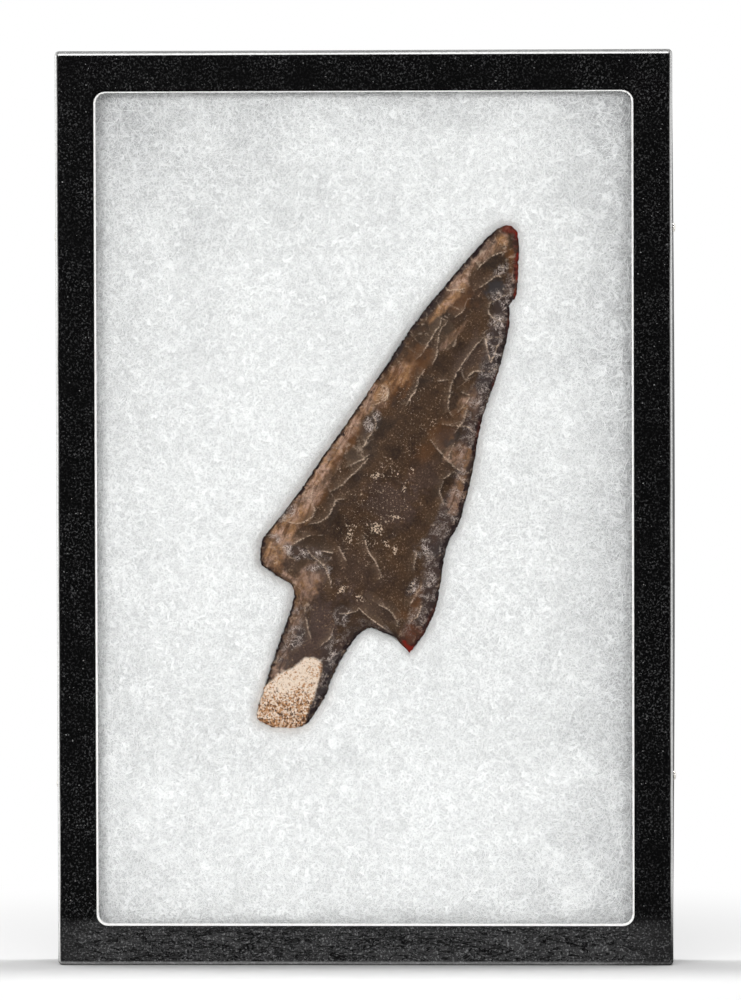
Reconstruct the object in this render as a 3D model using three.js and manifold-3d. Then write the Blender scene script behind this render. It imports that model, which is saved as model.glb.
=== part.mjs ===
import * as THREE from 'three';
import { mergeVertices } from 'three/addons/utils/BufferGeometryUtils.js';
import Module from 'manifold-3d';

// Glass-topped specimen case, standing on its lower edge, in millimetres.
// X runs across, Z up, and the glass faces -Y. A telescoping lid of covered board slides off a
// tray of the same make. Four dome-head pins close it. A knapped stone point lies in white fibre.

const wasm = await Module();
wasm.setup();

// Case, outside to outside
const caseWidth = 209.6;
const caseHeight = 311.2;
const caseDepth = 22.2;
const windowWidth = 182;
const windowHeight = 282.8;
const windowRadius = 3.4;
const lidRimGap = 0.6;
const cornerSteps = 3;
const smallestRadius = 0.2;

// Sheets
const board = 1.5;
const leatherette = 0.3;
const stayPaper = 0.16;
const tapePaper = 0.2;
const liningPaper = 0.16;
const glue = 0.07;
const glassThickness = 2;

// Folds and turned-in edges
const cornerRadius = 0.9;
const foldRadius = 1;
const cornerSlit = 0.3;
const turnIn = 9;
const stayLeg = 12;
const stayFromRim = 3;
const tapeOnGlass = 6;
const tapeOnWall = 4.5;

// Clearances
const slip = 0.7;
const glassPlay = 0.4;
const glassSeam = 0.3;
const glassCorner = 1;
const softGap = 0.3;
const restGap = 0.3;

// How far a cutting shape runs past the face that it cuts
const overcut = 1;

// Closing pins
const pinHeadRadius = 1.6;
const pinHeadHeight = 0.9;
const pinDomeSteps = 5;
const pinRound = 16;
const pinHeadGap = 0.2;
const pinRadius = 0.45;
const pinLength = 12;
const pinPointLength = 1.6;
const pinHoleGap = 0.3;
const pinLevel = 0;
const pinSpacing = 186.8;
const leftPinsDown = 0.8;
const rightPinsUp = 1.9;

// Fibre filling
const fibreRoll = 7;
const fibreRollDepth = 8;
const fibreCorner = 9;
const fibreSteps = 5;
const fibreChamfer = 1.5;

// Stone point, in its own plane
const stoneThickness = 11;
const stoneEdge = 0.6;
const stoneLean = THREE.MathUtils.degToRad(24.2);
const stoneShiftX = 10;
const stoneShiftZ = 11;
const stoneMiddle = 94.3;
const stoneStep = 5;
const stoneGrip = 0.7;

// Levels and half sizes that the pieces share
const layer = glue + stayPaper + glue;
const front = -caseDepth / 2;
const back = caseDepth / 2;
const lidBoardFace = front + leatherette + layer;
const lidBoardBack = lidBoardFace + board;
const lidRim = back - lidRimGap;
const glassFront = lidBoardBack + glue;
const glassBack = glassFront + glassThickness;
const tapeBack = glassBack + glue + tapePaper;
const trayRim = tapeBack + restGap;
const trayBoardBack = back - leatherette - layer;
const trayBoardInside = trayBoardBack - board;
const liningFront = trayBoardInside - glue - liningPaper;
const fibreFront = glassBack + softGap;
const fibreBack = liningFront - softGap;
const stoneLevel = fibreFront + stoneThickness / 2;

const lidBoardHalf = halfSize(caseWidth, caseHeight, leatherette + layer);
const lidInside = leatherette + glue + board;
const trayBoardHalf = grow(lidBoardHalf, -(lidInside + slip + leatherette + layer));

function halfSize(width, height, inset) {
  return { x: width / 2 - inset, z: height / 2 - inset, radius: cornerRadius };
}

function grow(half, amount) {
  return {
    x: half.x + amount,
    z: half.z + amount,
    radius: Math.max(half.radius + amount, smallestRadius)
  };
}

// Closed mesh to solid, and back to a geometry

function toSolid(geometry) {
  const bare = geometry.clone();
  bare.deleteAttribute('normal');
  bare.deleteAttribute('uv');
  const merged = mergeVertices(bare, 1e-4);
  const corners = merged.index.array;
  const triVerts = [];
  for (let i = 0; i < corners.length; i += 3) {
    const [a, b, c] = [corners[i], corners[i + 1], corners[i + 2]];
    if (a !== b && b !== c && c !== a) {
      triVerts.push(a, b, c);
    }
  }
  return new wasm.Manifold(new wasm.Mesh({
    numProp: 3,
    vertProperties: Float32Array.from(merged.attributes.position.array),
    triVerts: Uint32Array.from(triVerts)
  }));
}

function toGeometry(solid) {
  const mesh = solid.getMesh();
  const geometry = new THREE.BufferGeometry();
  geometry.setAttribute('position', new THREE.BufferAttribute(mesh.vertProperties, 3));
  geometry.setIndex(new THREE.BufferAttribute(mesh.triVerts, 1));
  geometry.computeVertexNormals();
  return geometry;
}

// Loft through rings of [x, y, z] with as many points each, its two ends closed flat.
// Seen from the first ring's outer side, each ring runs anticlockwise.

function loft(rings) {
  const count = rings[0].length;
  const index = [];
  for (let i = 0; i + 1 < rings.length; i += 1) {
    for (let j = 0; j < count; j += 1) {
      const k = (j + 1) % count;
      const [a, b] = [i * count + j, i * count + k];
      index.push(a, a + count, b + count, a, b + count, b);
    }
  }
  const last = (rings.length - 1) * count;
  const outline = rings[0].map((p) => new THREE.Vector2(p[0], p[2]));
  for (const [a, b, c] of THREE.ShapeUtils.triangulateShape(outline, [])) {
    index.push(a, b, c);
  }
  const end = rings[rings.length - 1].map((p) => new THREE.Vector2(p[0], p[2]));
  for (const [a, b, c] of THREE.ShapeUtils.triangulateShape(end, [])) {
    index.push(last + a, last + c, last + b);
  }
  const geometry = new THREE.BufferGeometry();
  geometry.setAttribute('position', new THREE.Float32BufferAttribute(rings.flat(2), 3));
  geometry.setIndex(index);
  return toSolid(geometry);
}

// Rounded rectangle in the case's plane, at depth y

function rectangle(half, y, steps = cornerSteps) {
  const radius = Math.min(half.radius, half.x, half.z);
  const points = [];
  for (let corner = 0; corner < 4; corner += 1) {
    const right = corner === 0 || corner === 3 ? 1 : -1;
    const up = corner < 2 ? 1 : -1;
    for (let i = 0; i <= steps; i += 1) {
      const angle = (corner + i / steps) * Math.PI / 2;
      const x = right * (half.x - radius) + radius * Math.cos(angle);
      const z = up * (half.z - radius) + radius * Math.sin(angle);
      points.push([x, y, z]);
    }
  }
  return points;
}

function block(half, yFront, yBack, steps) {
  return loft([rectangle(half, yFront, steps), rectangle(half, yBack, steps)]);
}

// Block whose edges round its closed face are folded over a radius.
// The face is at yFace and the open side at yOpen, on either side of it.

function foldedBlock(half, yFace, yOpen, radius) {
  const inward = Math.sign(yOpen - yFace);
  const rings = [];
  for (let i = 0; i <= cornerSteps; i += 1) {
    const angle = (i / cornerSteps) * Math.PI / 2;
    const inset = radius * (1 - Math.sin(angle));
    rings.push(rectangle(grow(half, -inset), yFace + inward * radius * (1 - Math.cos(angle))));
  }
  rings.push(rectangle(half, yOpen));
  return loft(inward > 0 ? rings : rings.reverse());
}

function frame(outer, inner, yFront, yBack) {
  return block(outer, yFront, yBack).subtract(block(inner, yFront - overcut, yBack + overcut));
}

// Box of scored and folded board: one panel and four walls, slit where the walls meet

function foldedBoard(half, yFace, yRim) {
  const inward = Math.sign(yRim - yFace);
  const outside = foldedBlock(half, yFace, yRim, foldRadius);
  const inside = grow(half, -board);
  const hollow = [yFace + inward * board, yRim + inward * overcut].sort((a, b) => a - b);
  let shell = outside.subtract(block(inside, hollow[0], hollow[1]));
  for (const right of [-1, 1]) {
    for (const up of [-1, 1]) {
      const slit = new THREE.BoxGeometry(cornerSlit, hollow[1] - hollow[0], 2 * board);
      const x = right * (half.x - board - cornerSlit / 2);
      slit.translate(x, (hollow[0] + hollow[1]) / 2, up * half.z);
      shell = shell.subtract(toSolid(slit));
    }
  }
  return shell;
}

// Leatherette over such a box, turned over the rim and down the inside of the walls

function covering(half, yFace, yRim) {
  const inward = Math.sign(yRim - yFace);
  const outer = grow(half, layer + leatherette);
  const inner = grow(half, layer);
  const outside = foldedBlock(outer, yFace, yRim, foldRadius + layer + leatherette);
  const inside = foldedBlock(
    inner, yFace + inward * leatherette, yRim + inward * overcut, foldRadius + layer
  );
  const wallFace = grow(half, -(board + glue));
  const turnedFace = grow(wallFace, -leatherette);
  const overRim = [yRim, yRim - inward * leatherette].sort((a, b) => a - b);
  const downWall = [yRim, yRim - inward * turnIn].sort((a, b) => a - b);
  return outside
    .subtract(inside)
    .add(frame(outer, turnedFace, overRim[0], overRim[1]))
    .add(frame(wallFace, turnedFace, downWall[0], downWall[1]));
}

// L-section paper round each corner of a box, between the board and its covering

function cornerStay(half, right, up, yStart, yEnd) {
  const inner = grow(half, glue);
  const outer = grow(inner, stayPaper);
  const ring = frame(outer, inner, yStart, yEnd);
  const leg = stayLeg + overcut;
  const keep = new THREE.BoxGeometry(leg, yEnd - yStart + 2 * overcut, leg);
  keep.translate(
    right * (outer.x - (stayLeg - overcut) / 2),
    (yStart + yEnd) / 2,
    up * (outer.z - (stayLeg - overcut) / 2)
  );
  return ring.intersect(toSolid(keep));
}

// Pins: where they stand, their holes, and the slots that let the lid come off with them

const pinHoleRadius = pinRadius + pinHoleGap;

function pinPlaces() {
  const places = [];
  for (const right of [-1, 1]) {
    const middle = right > 0 ? rightPinsUp : -leftPinsDown;
    for (const up of [1, -1]) {
      places.push({ right, up, z: middle + up * pinSpacing / 2 });
    }
  }
  return places;
}

function pinHoles(fromX, toX) {
  return pinPlaces().map(({ right, z }) => {
    const hole = new THREE.CylinderGeometry(pinHoleRadius, pinHoleRadius, toX - fromX, pinRound);
    hole.rotateZ(Math.PI / 2);
    hole.translate(right * (fromX + toX) / 2, pinLevel, z);
    return toSolid(hole);
  });
}

function pinSlots(fromX, toX, yOpen) {
  return pinPlaces().map(({ right, z }) => {
    const outline = new THREE.Shape();
    outline.moveTo(yOpen, -pinHoleRadius);
    outline.lineTo(pinLevel, -pinHoleRadius);
    outline.absarc(pinLevel, 0, pinHoleRadius, -Math.PI / 2, Math.PI / 2, false);
    outline.lineTo(yOpen, pinHoleRadius);
    const options = { depth: toX - fromX, bevelEnabled: false, curveSegments: 6 };
    const slot = new THREE.ExtrudeGeometry(outline, options);
    slot.applyMatrix4(new THREE.Matrix4().makeBasis(
      new THREE.Vector3(0, 1, 0), new THREE.Vector3(0, 0, 1), new THREE.Vector3(1, 0, 0)
    ));
    slot.translate(right > 0 ? fromX : -toX, 0, z);
    return toSolid(slot);
  });
}

function cutAll(solid, cutters) {
  return cutters.reduce((rest, cutter) => rest.subtract(cutter), solid);
}

function closingPin() {
  const profile = [new THREE.Vector2(0, -pinLength)];
  profile.push(new THREE.Vector2(pinRadius, pinPointLength - pinLength));
  profile.push(new THREE.Vector2(pinRadius, 0));
  for (let i = 0; i < pinDomeSteps; i += 1) {
    const angle = (i / pinDomeSteps) * Math.PI / 2;
    profile.push(new THREE.Vector2(
      pinHeadRadius * Math.cos(angle), pinHeadHeight * Math.sin(angle)
    ));
  }
  profile.push(new THREE.Vector2(0, pinHeadHeight));
  return toSolid(new THREE.LatheGeometry(profile, pinRound));
}

// Lid pieces. The window is punched through the covering and the board together, so that
// the pale edge of the board shows round it.

const windowCut = { x: windowWidth / 2, z: windowHeight / 2, radius: windowRadius };
const lidBoardRim = lidRim - leatherette - glue;
const lidWallInside = grow(lidBoardHalf, -board);

function lidBoard() {
  const shell = foldedBoard(lidBoardHalf, lidBoardFace, lidBoardRim)
    .subtract(block(windowCut, front, lidBoardBack + overcut));
  return cutAll(shell, pinHoles(lidWallInside.x - overcut, caseWidth / 2 + overcut));
}

function lidCovering() {
  const cover = covering(lidBoardHalf, front, lidRim)
    .subtract(block(windowCut, front - overcut, lidBoardBack));
  const turnedInside = grow(lidWallInside, -(glue + leatherette));
  return cutAll(cover, pinHoles(turnedInside.x - overcut, caseWidth / 2 + overcut));
}

const glassHalf = grow(lidWallInside, -glassPlay);

function glassPane() {
  const full = { ...glassHalf, radius: glassCorner };
  const small = grow(full, -glassSeam);
  return loft([
    rectangle(small, glassFront),
    rectangle(full, glassFront + glassSeam),
    rectangle(full, glassBack - glassSeam),
    rectangle(small, glassBack)
  ]);
}

// L-section paper strip: one leg on the back of the glass, one on the lid's wall

function glassTape(side) {
  const wall = grow(lidWallInside, -glue);
  const start = tapeBack - tapePaper;
  const onGlass = frame(wall, grow(wall, -tapeOnGlass), start, tapeBack);
  const onWall = frame(wall, grow(wall, -tapePaper), start, tapeBack + tapeOnWall);
  const ring = onGlass.add(onWall);
  const across = side === 'left' || side === 'right';
  const sign = side === 'left' || side === 'bottom' ? -1 : 1;
  const butt = wall.z - tapeOnGlass - softGap;
  const size = across
    ? [tapeOnGlass + 2 * overcut, 2 * butt]
    : [2 * wall.x + overcut, tapeOnGlass + overcut];
  const keep = new THREE.BoxGeometry(size[0], 2 * caseDepth, size[1]);
  if (across) {
    keep.translate(sign * (wall.x - tapeOnGlass / 2), 0, 0);
  } else {
    keep.translate(0, 0, sign * (wall.z - (tapeOnGlass - overcut) / 2));
  }
  return ring.intersect(toSolid(keep));
}

// Tray pieces

const trayWallInside = grow(trayBoardHalf, -board);
const trayTurnedInside = grow(trayWallInside, -(glue + leatherette));
const slotReach = [trayTurnedInside.x - overcut, lidBoardHalf.x];

function trayBoard() {
  const rim = trayRim + leatherette + glue;
  const shell = foldedBoard(trayBoardHalf, trayBoardBack, rim);
  return cutAll(shell, pinSlots(slotReach[0], slotReach[1], front));
}

function trayCovering() {
  const cover = covering(trayBoardHalf, back, trayRim);
  return cutAll(cover, pinSlots(slotReach[0], slotReach[1], front));
}

function trayLining() {
  return block(grow(trayWallInside, -softGap), liningFront, liningFront + liningPaper);
}

// Stone point. Its outline is five runs between sharp corners, with the tip up.
// Each point is [across, along, rib], and rib is how far along the spine its rib starts.

const stoneTip = 188;

const stoneRuns = [
  [
    [0, 188.5, 183], [-4.9, 179.5, 177], [-10.7, 161, 160], [-15, 144.6, 144],
    [-18.4, 125, 124.5], [-22, 106, 106], [-25.4, 89, 90], [-27.3, 77.5, 79],
    [-30.6, 63.5, 68], [-32.4, 55.5, 61], [-29.5, 47.5, 55]
  ],
  [
    [-29.5, 47.5, 55], [-21.4, 46.1, 50], [-16.3, 45.4, 46], [-14, 39.5, 39.5],
    [-12.7, 25, 25], [-10.4, 1.7, 7]
  ],
  [[-10.4, 1.7, 7], [-8.5, -1, 6.5], [-3, -1.4, 6], [4.7, 1.7, 6.5], [7.8, 4.8, 8]],
  [
    [7.8, 4.8, 8], [9.4, 15, 15], [9, 25, 25], [10.4, 37, 38],
    [13.5, 42.8, 44.5], [19.3, 43.6, 50], [25, 43.3, 55], [29.7, 40.7, 60]
  ],
  [
    [29.7, 40.7, 60], [31.6, 49, 64], [31.4, 60, 69], [27.5, 75, 79], [26.5, 82, 85],
    [27, 90, 91], [23.8, 107.6, 107.6], [20, 123, 123], [18.2, 140.5, 140],
    [15.5, 156, 155], [12.5, 163.2, 162], [13.2, 167.5, 167], [9.3, 178, 177],
    [6, 185.5, 181.5], [0, 188.5, 183]
  ]
];

function stoneCurve(run) {
  const points = run.map(([across, along, rib]) => new THREE.Vector3(across, along, rib));
  return new THREE.CatmullRomCurve3(points, false, 'catmullrom', 0.5);
}

function stoneMargin(step, clearance) {
  const margin = [];
  for (const run of stoneRuns) {
    const curve = stoneCurve(run);
    const count = Math.round(curve.getLength() / step);
    margin.push(...curve.getSpacedPoints(count).slice(0, -1));
  }
  return margin.map((place, i) => {
    const before = margin.at(i - 1);
    const after = margin[(i + 1) % margin.length];
    const outward = new THREE.Vector3(after.y - before.y, before.x - after.x, 0).normalize();
    return place.clone().addScaledVector(outward, clearance);
  });
}

// The spine wanders a little from the middle line, and the point is thickest in its lower blade.
// A taper gives how far from the end it starts and how far in the full thickness is reached.

const spine = { shift: -1.2, swing: 1.8, wave: 62 };
const tipTaper = [-30, 105];
const baseTaper = [-34, 62];

function spineAcross(rib) {
  return spine.shift + spine.swing * Math.sin(rib / spine.wave);
}

function halfThickness(rib) {
  const toTip = THREE.MathUtils.smoothstep(stoneTip - rib, ...tipTaper);
  const toBase = THREE.MathUtils.smoothstep(rib, ...baseTaper);
  return stoneThickness / 2 * toTip * toBase;
}

// Height of the unflaked blank: an edge of even thickness that swells to the spine.
// inward runs from 0 at the margin to 1 at the spine.

const swellRise = 2.1;
const swellCrown = 0.8;

function blankHeight(rib, inward) {
  const swell = (1 - (1 - inward) ** swellRise) ** swellCrown;
  return stoneEdge / 2 + (halfThickness(rib) - stoneEdge / 2) * swell;
}

function blankPoint(place, inward, face, clearance) {
  return [
    place.x + (spineAcross(place.z) - place.x) * inward,
    face * (blankHeight(place.z, inward) + clearance),
    place.y + (place.z - place.y) * inward
  ];
}

const blankRings = [0, 0.2, 0.5, 0.9];

function blankFace(margin, face, clearance) {
  return blankRings.map((inward) => (
    margin.map((place) => blankPoint(place, inward, face, clearance))
  ));
}

function stoneBlank() {
  const margin = stoneMargin(stoneStep, 0);
  return loft([...blankFace(margin, -1, 0).reverse(), ...blankFace(margin, 1, 0)]);
}

// Room for the stone in the fibre: its back half, a little larger, carried straight forward

function stoneBed() {
  const margin = stoneMargin(stoneStep, stoneGrip);
  const mouth = margin.map(({ x, y }) => [x, -stoneThickness, y]);
  return loft([mouth, ...blankFace(margin, 1, stoneGrip)]);
}

// Flakes struck from the margins. Each scar is the dish that an ellipsoid leaves, laid along
// the slope from the margin to the spine, deepest near the blow and feathering out inward.
// Flakes are smaller where the point is narrow: flakeRib is the rib that takes them full size.

const flakeRib = 24;
const flakeMiddle = 0.42;
const flakeFurthest = 0.9;
const slopeStep = 0.1;
const ball = toSolid(new THREE.SphereGeometry(1, 8, 6));

function scatter(seed) {
  const wave = Math.sin(seed * 12.9898) * 43758.5453;
  return wave - Math.floor(wave);
}

const flakeRows = [
  { runs: [0, 4], spacing: 19, reach: 1.25, width: 1.5, depth: 1.1, flat: 4.5 },
  { runs: [0, 4], spacing: 16, reach: 0.62, width: 1.2, depth: 0.65, flat: 3 },
  { runs: [1, 3], spacing: 15, reach: 0.8, width: 1.2, depth: 0.5, flat: 3 },
  { runs: [0, 1, 3, 4], spacing: 15, reach: 0.3, width: 1, depth: 0.5, flat: 1.8 }
];
const seedStep = { run: 40, row: 200, back: 1000 };

// How far the knapper's hand wanders: a part of the spacing, then shares of each size
const shiftSpan = 0.6;
const widthSpan = 0.4;
const reachSpan = 0.5;
const depthSpan = 0.6;

function varied(size, span, seed) {
  return size * (1 + span * (scatter(seed) - 0.5));
}

function flakeList(face) {
  const flakes = [];
  flakeRows.forEach((row, rowNumber) => {
    for (const runNumber of row.runs) {
      const curve = stoneCurve(stoneRuns[runNumber]);
      const count = Math.round(curve.getLength() / row.spacing);
      for (let i = 0; i < count; i += 1) {
        const onBack = face > 0 ? seedStep.back : 0;
        const seed = 1 + i + seedStep.run * runNumber + seedStep.row * rowNumber + onBack;
        const shift = shiftSpan * (scatter(seed) - 0.5);
        flakes.push({
          face,
          flat: row.flat,
          place: curve.getPointAt((i + 0.5 + shift) / count),
          width: varied(row.spacing * row.width, widthSpan, seed + 0.3),
          reach: varied(row.reach, reachSpan, seed + 0.6),
          depth: varied(row.depth, depthSpan, seed + 0.8)
        });
      }
    }
  });
  return flakes;
}

function flakeSolid(flake) {
  const { place, face, reach } = flake;
  const surface = (inward) => new THREE.Vector3(...blankPoint(place, inward, face, 0));
  const middle = Math.min(flakeMiddle * reach, flakeFurthest);
  const rib = surface(1).distanceTo(surface(0));
  const share = Math.min(rib / flakeRib, 1);
  const [width, depth, flat] = [flake.width, flake.depth, flake.flat].map((v) => v * share);
  const length = Math.max(rib * reach, width / 2);
  const outer = surface(Math.max(middle - slopeStep, 0));
  const along = surface(middle + slopeStep).sub(outer).normalize();
  const side = new THREE.Vector3(0, face, 0).cross(along).negate().normalize();
  const up = new THREE.Vector3().crossVectors(side, along);
  const sink = flat - depth;
  const spread = Math.sqrt(1 - (sink / flat) ** 2);
  const centre = surface(middle).addScaledVector(up, sink);
  const pose = new THREE.Matrix4().makeBasis(along, up, side).setPosition(centre);
  pose.scale(new THREE.Vector3(0.5 * length / spread, flat, width / 2 / spread));
  return ball.transform(pose.elements);
}

function knappedPoint() {
  const flakes = [...flakeList(1), ...flakeList(-1)].map(flakeSolid);
  const chipped = cutAll(stoneBlank(), flakes);
  const [stone] = chipped.decompose().sort((a, b) => b.volume() - a.volume());
  return stone;
}

// Where the stone lies in the case: turned in its own plane and moved off the middle

function stonePose() {
  const pose = new THREE.Matrix4().makeRotationY(stoneLean);
  const offset = new THREE.Vector3(stoneShiftX, stoneLevel, stoneShiftZ);
  return pose.setPosition(offset).multiply(
    new THREE.Matrix4().makeTranslation(0, 0, -stoneMiddle)
  );
}

// Fibre filling: pressed flat by the glass, rolled away to the walls, with a hollow under
// the stone and a parting for each pin

function fibrePad() {
  const half = { ...grow(trayTurnedInside, -softGap), radius: fibreCorner };
  const rings = [];
  for (let i = 0; i <= fibreSteps; i += 1) {
    const angle = (i / fibreSteps) * Math.PI / 2;
    const inset = fibreRoll * (1 - Math.sin(angle));
    const depth = fibreRollDepth * (1 - Math.cos(angle));
    rings.push(rectangle(grow(half, -inset), fibreFront + depth, fibreSteps));
  }
  rings.push(rectangle(half, fibreBack - fibreChamfer, fibreSteps));
  rings.push(rectangle(grow(half, -fibreChamfer), fibreBack, fibreSteps));
  const bed = stoneBed().transform(stonePose().elements);
  const pinEnd = caseWidth / 2 + pinHeadGap - pinLength - pinHoleGap;
  const partings = pinSlots(pinEnd, half.x + overcut, front);
  return cutAll(loft(rings), [bed, ...partings]);
}

// Assembly

const black = { color: 0x17171a, roughness: 0.5, metalness: 0 };
const grey = { color: 0x8d8778, roughness: 0.95, metalness: 0 };
const kraft = { color: 0xb9a27c, roughness: 0.85, metalness: 0 };
const white = { color: 0xeceae5, roughness: 1, metalness: 0 };
const nickel = { color: 0xc9c9c6, roughness: 0.25, metalness: 1 };
const clear = { color: 0xdfe8e6, roughness: 0.05, metalness: 0, transparent: true, opacity: 0.25 };
const chert = { color: 0x5f4636, roughness: 0.4, metalness: 0 };

function piece(name, solid, finish) {
  const material = new THREE.MeshStandardMaterial({ ...finish, flatShading: true });
  const mesh = new THREE.Mesh(toGeometry(solid), material);
  mesh.name = name;
  return mesh;
}

const corners = [
  { name: 'upper_left', right: -1, up: 1 },
  { name: 'upper_right', right: 1, up: 1 },
  { name: 'lower_left', right: -1, up: -1 },
  { name: 'lower_right', right: 1, up: -1 }
];

const tray = new THREE.Group();
tray.add(piece('tray_board', trayBoard(), grey));
tray.add(piece('tray_wrap', trayCovering(), black));
tray.add(piece('tray_lining', trayLining(), white));
tray.add(piece('fibre_pad', fibrePad(), white));
const stone = piece('arrowhead', knappedPoint(), chert);
stone.applyMatrix4(stonePose());
tray.add(stone);

const lid = new THREE.Group();
lid.add(piece('lid_board', lidBoard(), grey));
lid.add(piece('lid_wrap', lidCovering(), black));
lid.add(piece('glass_pane', glassPane(), clear));
for (const side of ['top', 'bottom', 'left', 'right']) {
  lid.add(piece(`glass_tape_${side}`, glassTape(side), kraft));
}

for (const { name, right, up } of corners) {
  const trayStay = cornerStay(
    trayBoardHalf, right, up, trayRim + stayFromRim, trayBoardBack - foldRadius - glue
  );
  tray.add(piece(`tray_stay_${name}`, trayStay, kraft));
  const lidStay = cornerStay(
    lidBoardHalf, right, up, lidBoardFace + foldRadius + glue, lidRim - stayFromRim
  );
  lid.add(piece(`lid_stay_${name}`, lidStay, kraft));
}

pinPlaces().forEach(({ right, up, z }) => {
  const height = up > 0 ? 'upper' : 'lower';
  const side = right > 0 ? 'right' : 'left';
  const pin = piece(`pin_${height}_${side}`, closingPin(), nickel);
  pin.rotation.z = -right * Math.PI / 2;
  pin.position.set(right * (caseWidth / 2 + pinHeadGap), pinLevel, z);
  lid.add(pin);
});

const displayCase = new THREE.Group();
displayCase.add(tray, lid);
displayCase.position.z = caseHeight / 2;

export default displayCase;
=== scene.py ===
import bmesh
import bpy
import numpy as np
from mathutils import Matrix, Vector


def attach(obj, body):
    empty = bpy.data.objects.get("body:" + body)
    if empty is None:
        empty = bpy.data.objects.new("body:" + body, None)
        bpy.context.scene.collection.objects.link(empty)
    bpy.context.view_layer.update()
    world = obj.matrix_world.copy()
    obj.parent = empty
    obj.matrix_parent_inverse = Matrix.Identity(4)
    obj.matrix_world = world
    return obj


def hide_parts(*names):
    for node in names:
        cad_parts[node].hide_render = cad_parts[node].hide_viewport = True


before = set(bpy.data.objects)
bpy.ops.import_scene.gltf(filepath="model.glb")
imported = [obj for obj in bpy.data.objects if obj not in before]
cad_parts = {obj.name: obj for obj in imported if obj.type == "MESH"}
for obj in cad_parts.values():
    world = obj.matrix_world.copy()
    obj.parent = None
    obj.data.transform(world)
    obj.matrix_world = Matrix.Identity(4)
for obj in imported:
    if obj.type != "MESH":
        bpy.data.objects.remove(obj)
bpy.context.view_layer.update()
mm = 0.001
caseMiddle = 155.6        # half the height of the case, in millimetres
print("frame loaded:", len(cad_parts), "nodes")


def linked(name, data):
    # A new object that shows the data, put into the scene
    made = bpy.data.objects.new(name, data)
    bpy.context.collection.objects.link(made)
    return made


# Camera, where the photograph was taken from

photoView = {
    "distance": 2.4, "azimuth": 2.04, "elevation": 1.95, "roll": -0.16,
    "target": (0.00182, 0.0, 0.15819),
    "focalPixels": 7033.6, "imageHeight": 1000, "sensor": 24.0,
}


def addCamera(view):
    # The camera stands off its target along the unit vector of its azimuth and elevation.
    # Right and up span the picture, turned about that vector by the roll.
    a, e, r = np.radians([view["azimuth"], view["elevation"], view["roll"]])
    back = np.array([np.sin(a) * np.cos(e), -np.cos(a) * np.cos(e), np.sin(e)])
    right = np.array([np.cos(a), np.sin(a), 0.0])
    up = np.cross(back, right)
    turnedRight = np.cos(r) * right + np.sin(r) * up
    turnedUp = np.cos(r) * up - np.sin(r) * right
    place = np.array(view["target"]) + view["distance"] * back
    data = bpy.data.cameras.new("photo_camera")
    data.sensor_fit = "VERTICAL"
    data.sensor_height = view["sensor"]
    data.lens = view["focalPixels"] / view["imageHeight"] * view["sensor"]
    data.clip_end = 50
    camera = linked("photo_camera", data)
    rows = [[*row, place[i]] for i, row in enumerate(np.array([turnedRight, turnedUp, back]).T)]
    camera.matrix_world = Matrix([*rows, (0, 0, 0, 1)])
    bpy.context.scene.camera = camera


addCamera(photoView)
bpy.context.scene.view_settings.view_transform = "Standard"

# Shader tools: a socket that takes Python's operators, and a tree that adds nodes


class Socket:
    # An output of a node. Each operator or named step below adds one node to the same tree.
    def __init__(self, tree, link):
        self.tree = tree
        self.link = link

    def maths(self, operation, *others):
        return self.tree.add("ShaderNodeMath", {"operation": operation}, [self, *others])

    def __add__(self, other):
        return self.maths("ADD", other)

    def __sub__(self, other):
        return self.maths("SUBTRACT", other)

    def __mul__(self, other):
        return self.maths("MULTIPLY", other)

    def __pow__(self, other):
        return self.maths("POWER", other)

    def __rsub__(self, other):
        return self.tree.add("ShaderNodeMath", {"operation": "SUBTRACT"}, [other, self])

    __radd__ = __add__
    __rmul__ = __mul__

    def size(self):
        return self.maths("ABSOLUTE")

    def most(self, other):
        return self.maths("MAXIMUM", other)

    def least(self, other):
        return self.maths("MINIMUM", other)

    def smooth(self, low, high):
        # 0 below low, 1 above high, eased between; low may be the larger
        return self.tree.add(
            "ShaderNodeMapRange", {"interpolation_type": "SMOOTHSTEP"},
            {"Value": self, "From Min": low, "From Max": high},
        )


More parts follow.
